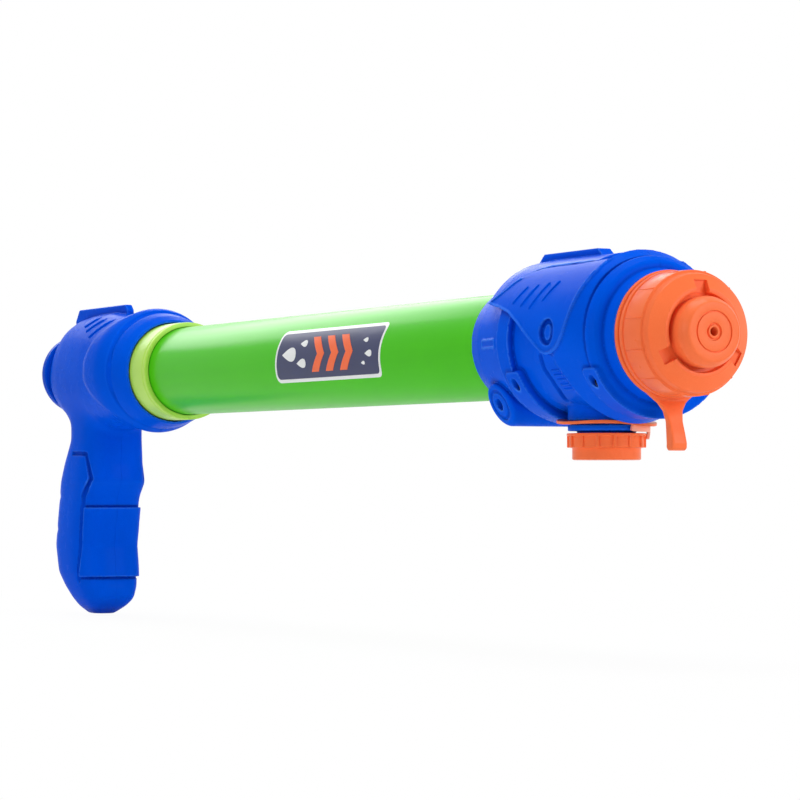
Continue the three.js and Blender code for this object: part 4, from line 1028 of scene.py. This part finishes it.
# Water manifold inside the housing, with both threaded necks
manifold = {"step": 0.6, "low": (375.8, -26.2, -43.4), "high": (480.2, 26.2, 26.2),
            "sleeve": (377.0, 405.6, 25.0), "socket": (402.6, 22.3), "body": (405, 466.3, 14.0),
            "shoulder": (461.1, 466.3, 15.5), "neck": (466.3, 479.0, 14.6), "bore": 8.0, "fillX": 419.0,
            "fillSleeve": (-33.5, 13.7), "flange": (-33.5, -35.9, 15.2), "fillNeck": (-42.2, 11.5),
            "fillBore": 8.5, "pitch": 4.0, "thread": 0.9, "ears": [(395.6, 19.8), (451.8, 15.4)],
            "earZ": -17.5, "earR": 4.2, "webHalf": 4, "webReach": 7}


def threadRidge(turns, between):  # height of a thread's ridge, from how many turns along it a spot is
    phase = turns % 1
    return manifold["thread"] * np.clip(1.6 - np.abs(phase - 0.5) * 7, 0, 1) * between


def manifoldForm(x, s, z):
    m = manifold
    r = np.hypot(s, z)

    def drum(low, high, radius):
        return softMax(np.maximum(low - x, x - high), r - radius, 0.3)

    d = np.minimum(drum(*m["sleeve"]), np.minimum(drum(*m["body"]), drum(*m["shoulder"])))
    start, end, neckR = m["neck"]
    turns = x / m["pitch"] - np.arctan2(s, z) / (2 * math.pi)
    ridge = threadRidge(turns, (x > start + 2) & (x < end - 3.5))
    d = np.minimum(d, softMax(np.maximum(start - 0.5 - x, x - end), r - neckR - ridge, 0.4))
    across = np.hypot(x - m["fillX"], s)
    foot, sleeve = m["fillSleeve"]
    d = softMin(d, most(across - sleeve, z, foot - z), 0.5)
    top, low, wide = m["flange"]
    d = np.minimum(d, softMax(across - wide, np.maximum(z - top, low - z), 0.4))
    tip, fillR = m["fillNeck"]
    turns = z / m["pitch"] + np.arctan2(s, x - m["fillX"]) / (2 * math.pi)
    ridge = threadRidge(turns, (z < low - 1) & (z > tip + 1.5))
    d = np.minimum(d, softMax(across - fillR - ridge, np.maximum(z, tip - z), 0.4))
    for ex, reach in m["ears"]:  # a post for each pair of ear screws, with a web above it
        d = np.minimum(d, np.maximum(np.hypot(x - ex, z - m["earZ"]) - m["earR"], np.abs(s) - reach))
        d = np.minimum(d, most(np.abs(x - ex) - m["webHalf"], np.abs(s) - m["webReach"], m["earZ"] - z, z))
    d = np.maximum(d, -np.maximum(r - m["socket"][1], x - m["socket"][0]))
    d = np.maximum(d, -(r - m["bore"]))
    return np.maximum(d, -np.maximum(across - m["fillBore"], z))


core = formPiece("waterManifold", manifoldForm, manifold["low"], manifold["high"], manifold["step"],
                 plastic["blue"])
settle(core, "barrel", "blue_plastic", "water_manifold")
print("manifold", len(core.data.polygons))

# Screws, one set for each body
screw = {"Head Radius": 0.0021, "Head Height": 0.0016, "Slot Width": 0.0008, "Slot Depth": 0.0009}


screwSets = {  # the side that each head is on
    "barrel": {"ear_screw_1": 1, "ear_screw_2": -1, "ear_screw_3": 1, "ear_screw_4": -1, "shell_screw_1": -1,
               "shell_screw_2": -1},
    "handle": {"handle_screw_%d" % i: 1 for i in range(1, 5)},
}


def screwPlaces(sides, sink=0.0015):  # where each head sits in its well and the way it points
    spots, aims = [], []
    for name, aim in sides.items():
        low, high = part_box(name)
        middle = [(a + b) / 2 for a, b in zip(low, high)]
        spots.append((middle[0], high[1] - sink if aim > 0 else low[1] + sink, middle[2]))
        aims.append((0, aim, 0))
    return spots, aims


for body, sides in screwSets.items():
    spots, aims = screwPlaces(sides)
    values = {**screw, "Material": plastic["steel"]}
    settle(grown(body + "Screws", screwTree, values, spots, (), {"aim": aims}), body, "screw_steel", *sides)
print("screws done")

# Printed panel on the tube: drops and chevrons in a bordered field
decal = {"x": 218.0, "turn": 4.0, "long": 104.0, "tall": 25.0, "corner": 4.0, "border": 1.7, "lean": 0.18,
         "drops": [(-38, 0.5, 5.2), (-25.5, -3.8, 3.4), (-24, 5.2, 2.6)],
         "chevrons": [(-9, 8.0), (5, 8.0), (19, 8.0)], "chevronWide": 7.0, "point": 7.0,
         "dots": [(37, 4.5, 1.7), (40.5, -1.5, 2.4), (35, -5.5, 1.3)], "fine": 1.5, "sink": 0.1}


def leaning(points):
    return [(x + decal["lean"] * a, a) for x, a in points]


def roundedField(long, tall, corner):
    half, rise = long / 2, tall / 2
    return leaning(eased([(-half, -rise), (half, -rise), (half, rise), (-half, rise)], corner, 8))


def dropShape(x, a, size):
    turns = np.linspace(0, 2 * math.pi, 48, endpoint=False)
    return [(x - 1.35 * size * math.cos(t), a + 0.85 * size * math.sin(t) * math.sin(t / 2) ** 1.3)
            for t in turns]


def chevronShapes(x, rise):
    wide, point = decal["chevronWide"], decal["point"]
    upper = [(x, 0), (x + wide, 0), (x + wide - point, rise), (x - point, rise)]
    return [upper, [(u, -v) for u, v in upper[::-1]]]


def onTube(x, a, level):  # a spot of the flat drawing, laid on the tube
    radius = tube["radius"] + level
    turn = math.radians(decal["turn"]) + a / tube["radius"]
    return decal["x"] + x, -radius * math.cos(turn), radius * math.sin(turn)


def printed(name, shapes, lift, material):  # thin patches that follow the tube
    rings = [1.0, 0.98, 0.75, 0.5, 0.25]
    points, faces = [], []
    for shape in shapes:
        dense = []
        for (x0, a0), (x1, a1) in zip(shape, list(shape[1:]) + [shape[0]]):
            parts = max(1, int(math.hypot(x1 - x0, a1 - a0) / decal["fine"]))
            dense += [(x0 + (x1 - x0) * t / parts, a0 + (a1 - a0) * t / parts) for t in range(parts)]
        edge = np.array(dense)
        hub = edge.mean(0)
        first, count = len(points), len(edge)
        for share in rings:
            points += [onTube(x, a, lift) for x, a in hub + (edge - hub) * share]
        points += [onTube(x, a, -decal["sink"]) for x, a in hub + (edge - hub)]
        points.append(onTube(*hub, lift))
        last, under = first + (len(rings) - 1) * count, first + len(rings) * count
        nexts = [(j, (j + 1) % count) for j in range(count)]
        faces += strips(len(rings), count, first)
        faces += [[last + j, last + k, len(points) - 1] for j, k in nexts]
        faces += [[first + k, first + j, under + j, under + k] for j, k in nexts]
        faces.append([under + j for j in range(count)])
    return tidyMesh(newPiece(name, toFrame(points), faces, material))


field = roundedField(decal["long"], decal["tall"], decal["corner"])
border = 2 * decal["border"]
inner = roundedField(decal["long"] - border, decal["tall"] - border, decal["corner"] - 1)
chevrons = [half for x, rise in decal["chevrons"] for half in chevronShapes(x, rise)]
drops = [dropShape(*d) for d in decal["drops"] + decal["dots"]]
settle(printed("decalBorder", [field], 0.08, plastic["print"]), "barrel", "white_plastic")
settle(printed("decalField", [inner], 0.16, plastic["navy"]), "barrel", "blue_plastic")
settle(printed("decalDrops", drops, 0.24, plastic["print"]), "barrel", "white_plastic")
settle(printed("decalChevrons", chevrons, 0.24, plastic["amber"]), "barrel", "orange_plastic")
print("decal done")

# Rod and guide with softened edges, and the pieces that keep their CAD shape
softLooks = {"plunger_rod": ("plungerRod", "handle", 0.5), "rod_guide": ("rodGuide", "barrel", 0.4)}


def softened(node, name, width, material):
    piece = linked(name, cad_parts[node].data.copy())
    shape = bmesh.new()
    shape.from_mesh(piece.data)
    bmesh.ops.remove_doubles(shape, verts=shape.verts, dist=1e-6)
    bmesh.ops.dissolve_limit(shape, angle_limit=math.radians(1), verts=shape.verts, edges=shape.edges)
    shape.to_mesh(piece.data)
    shape.free()
    return bevelled(piece, width, material)


for node, (name, body, width) in softLooks.items():
    settle(softened(node, name, width, plastic["white"]), body, "white_plastic", node)

keptLooks = {"white": ["piston"], "rubber": ["piston_seal", "tube_seal", "nozzle_gasket", "fill_gasket"],
             "steel": ["piston_screw"]}
for look, names in keptLooks.items():
    for name in names:
        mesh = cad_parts[name].data
        mesh.materials.clear()
        mesh.materials.append(plastic[look])

# Floor, light and camera
studio = {"floor": -0.001, "reach": 6.0, "white": (0.95, 1.0), "fade": (0.15, 0.6), "world": 0.27}
lamps = {  # place, size, power
    "keyLamp": ((0.15, -0.1, 1.5), (1.0, 0.8), 13.0),
    "fillLamp": ((1.6, 0.8, 0.6), (0.8, 0.8), 12.0),
    "sideLamp": ((0.5, -1.5, 0.5), (0.9, 0.7), 5.0),
    "rimLamp": ((-1.4, 0.2, 0.85), (1.1, 0.6), 8.0),
}


def plainRays(start):  # rays that see the plain white background
    camera = start.node("ShaderNodeLightPath")
    rays = camera.socket.node
    plain = camera.sum("MAXIMUM", camera, Wire(start.tree, rays.outputs["Is Glossy Ray"]))
    return camera.sum("MAXIMUM", plain, Wire(start.tree, rays.outputs["Is Transmission Ray"]))


def makeFloor(p):
    mesh = bpy.data.meshes.new("floor")
    far = p["reach"]
    corners = [(x, y, p["floor"]) for x, y in ((-far, -far), (far, -far), (far, far), (-far, far))]
    mesh.from_pydata(corners, [], [(0, 1, 2, 3)])
    floor = linked("floor", mesh)
    material, tree, shader = freshMaterial("paleFloor")
    shader.inputs["Base Color"].default_value = (0.9, 0.9, 0.9, 1)
    shader.inputs["Roughness"].default_value = 0.8
    start = Wire(tree)
    at = start.node("ShaderNodeTexCoord", output=3)
    away = at.node("ShaderNodeVectorMath", {"operation": "LENGTH"}, {0: at}, 1)
    near, far = p["fade"]
    low, high = p["white"]
    share = away.node("ShaderNodeMapRange", {"interpolation_type": "SMOOTHSTEP"},
                      {"Value": away, "From Min": near, "From Max": far, "To Min": low, "To Max": high})
    glow = start.node("ShaderNodeEmission", None, {"Color": (1, 1, 1, 1), "Strength": 1.0})
    base = Wire(tree, shader.outputs[0])
    both = start.node("ShaderNodeMixShader", None, {0: plainRays(start) * share, 1: base, 2: glow})
    output = next(n for n in tree.nodes if n.type == "OUTPUT_MATERIAL")
    tree.links.new(both.socket, output.inputs[0])
    mesh.materials.append(material)


def makeWorld(p):
    world = bpy.data.worlds.new("studio")
    bpy.context.scene.world = world
    world.use_nodes = True
    tree = world.node_tree
    tree.nodes.clear()
    start = Wire(tree)
    strength = plainRays(start) * (1 - p["world"]) + p["world"]
    back = start.node("ShaderNodeBackground", None, {"Color": (1, 1, 1, 1), "Strength": strength})
    output = tree.nodes.new("ShaderNodeOutputWorld")
    tree.links.new(back.socket, output.inputs[0])


def addLamp(name, place, aim, size, power):
    lamp = bpy.data.lights.new(name, "AREA")
    lamp.shape = "RECTANGLE"
    lamp.size, lamp.size_y = size
    lamp.energy = power
    made = linked(name, lamp)
    made.location = place
    made.rotation_euler = (Vector(aim) - Vector(place)).to_track_quat("-Z", "Y").to_euler()


makeFloor(studio)
makeWorld(studio)
for name, (place, size, power) in lamps.items():
    addLamp(name, place, (0, 0, 0.1), size, power)

camera = {"place": (1.29336, -0.65239, 0.07052), "back": (0.88266, -0.46932, -0.02567), "lens": 141.98}
lens = bpy.data.cameras.new("camera")
lens.lens = camera["lens"]
lens.sensor_width = 36
eye = linked("camera", lens)
eye.location = camera["place"]
eye.rotation_euler = (-Vector(camera["back"])).to_track_quat("-Z", "Y").to_euler()
bpy.context.scene.camera = eye
bpy.context.scene.view_settings.view_transform = "Standard"
print("studio done")
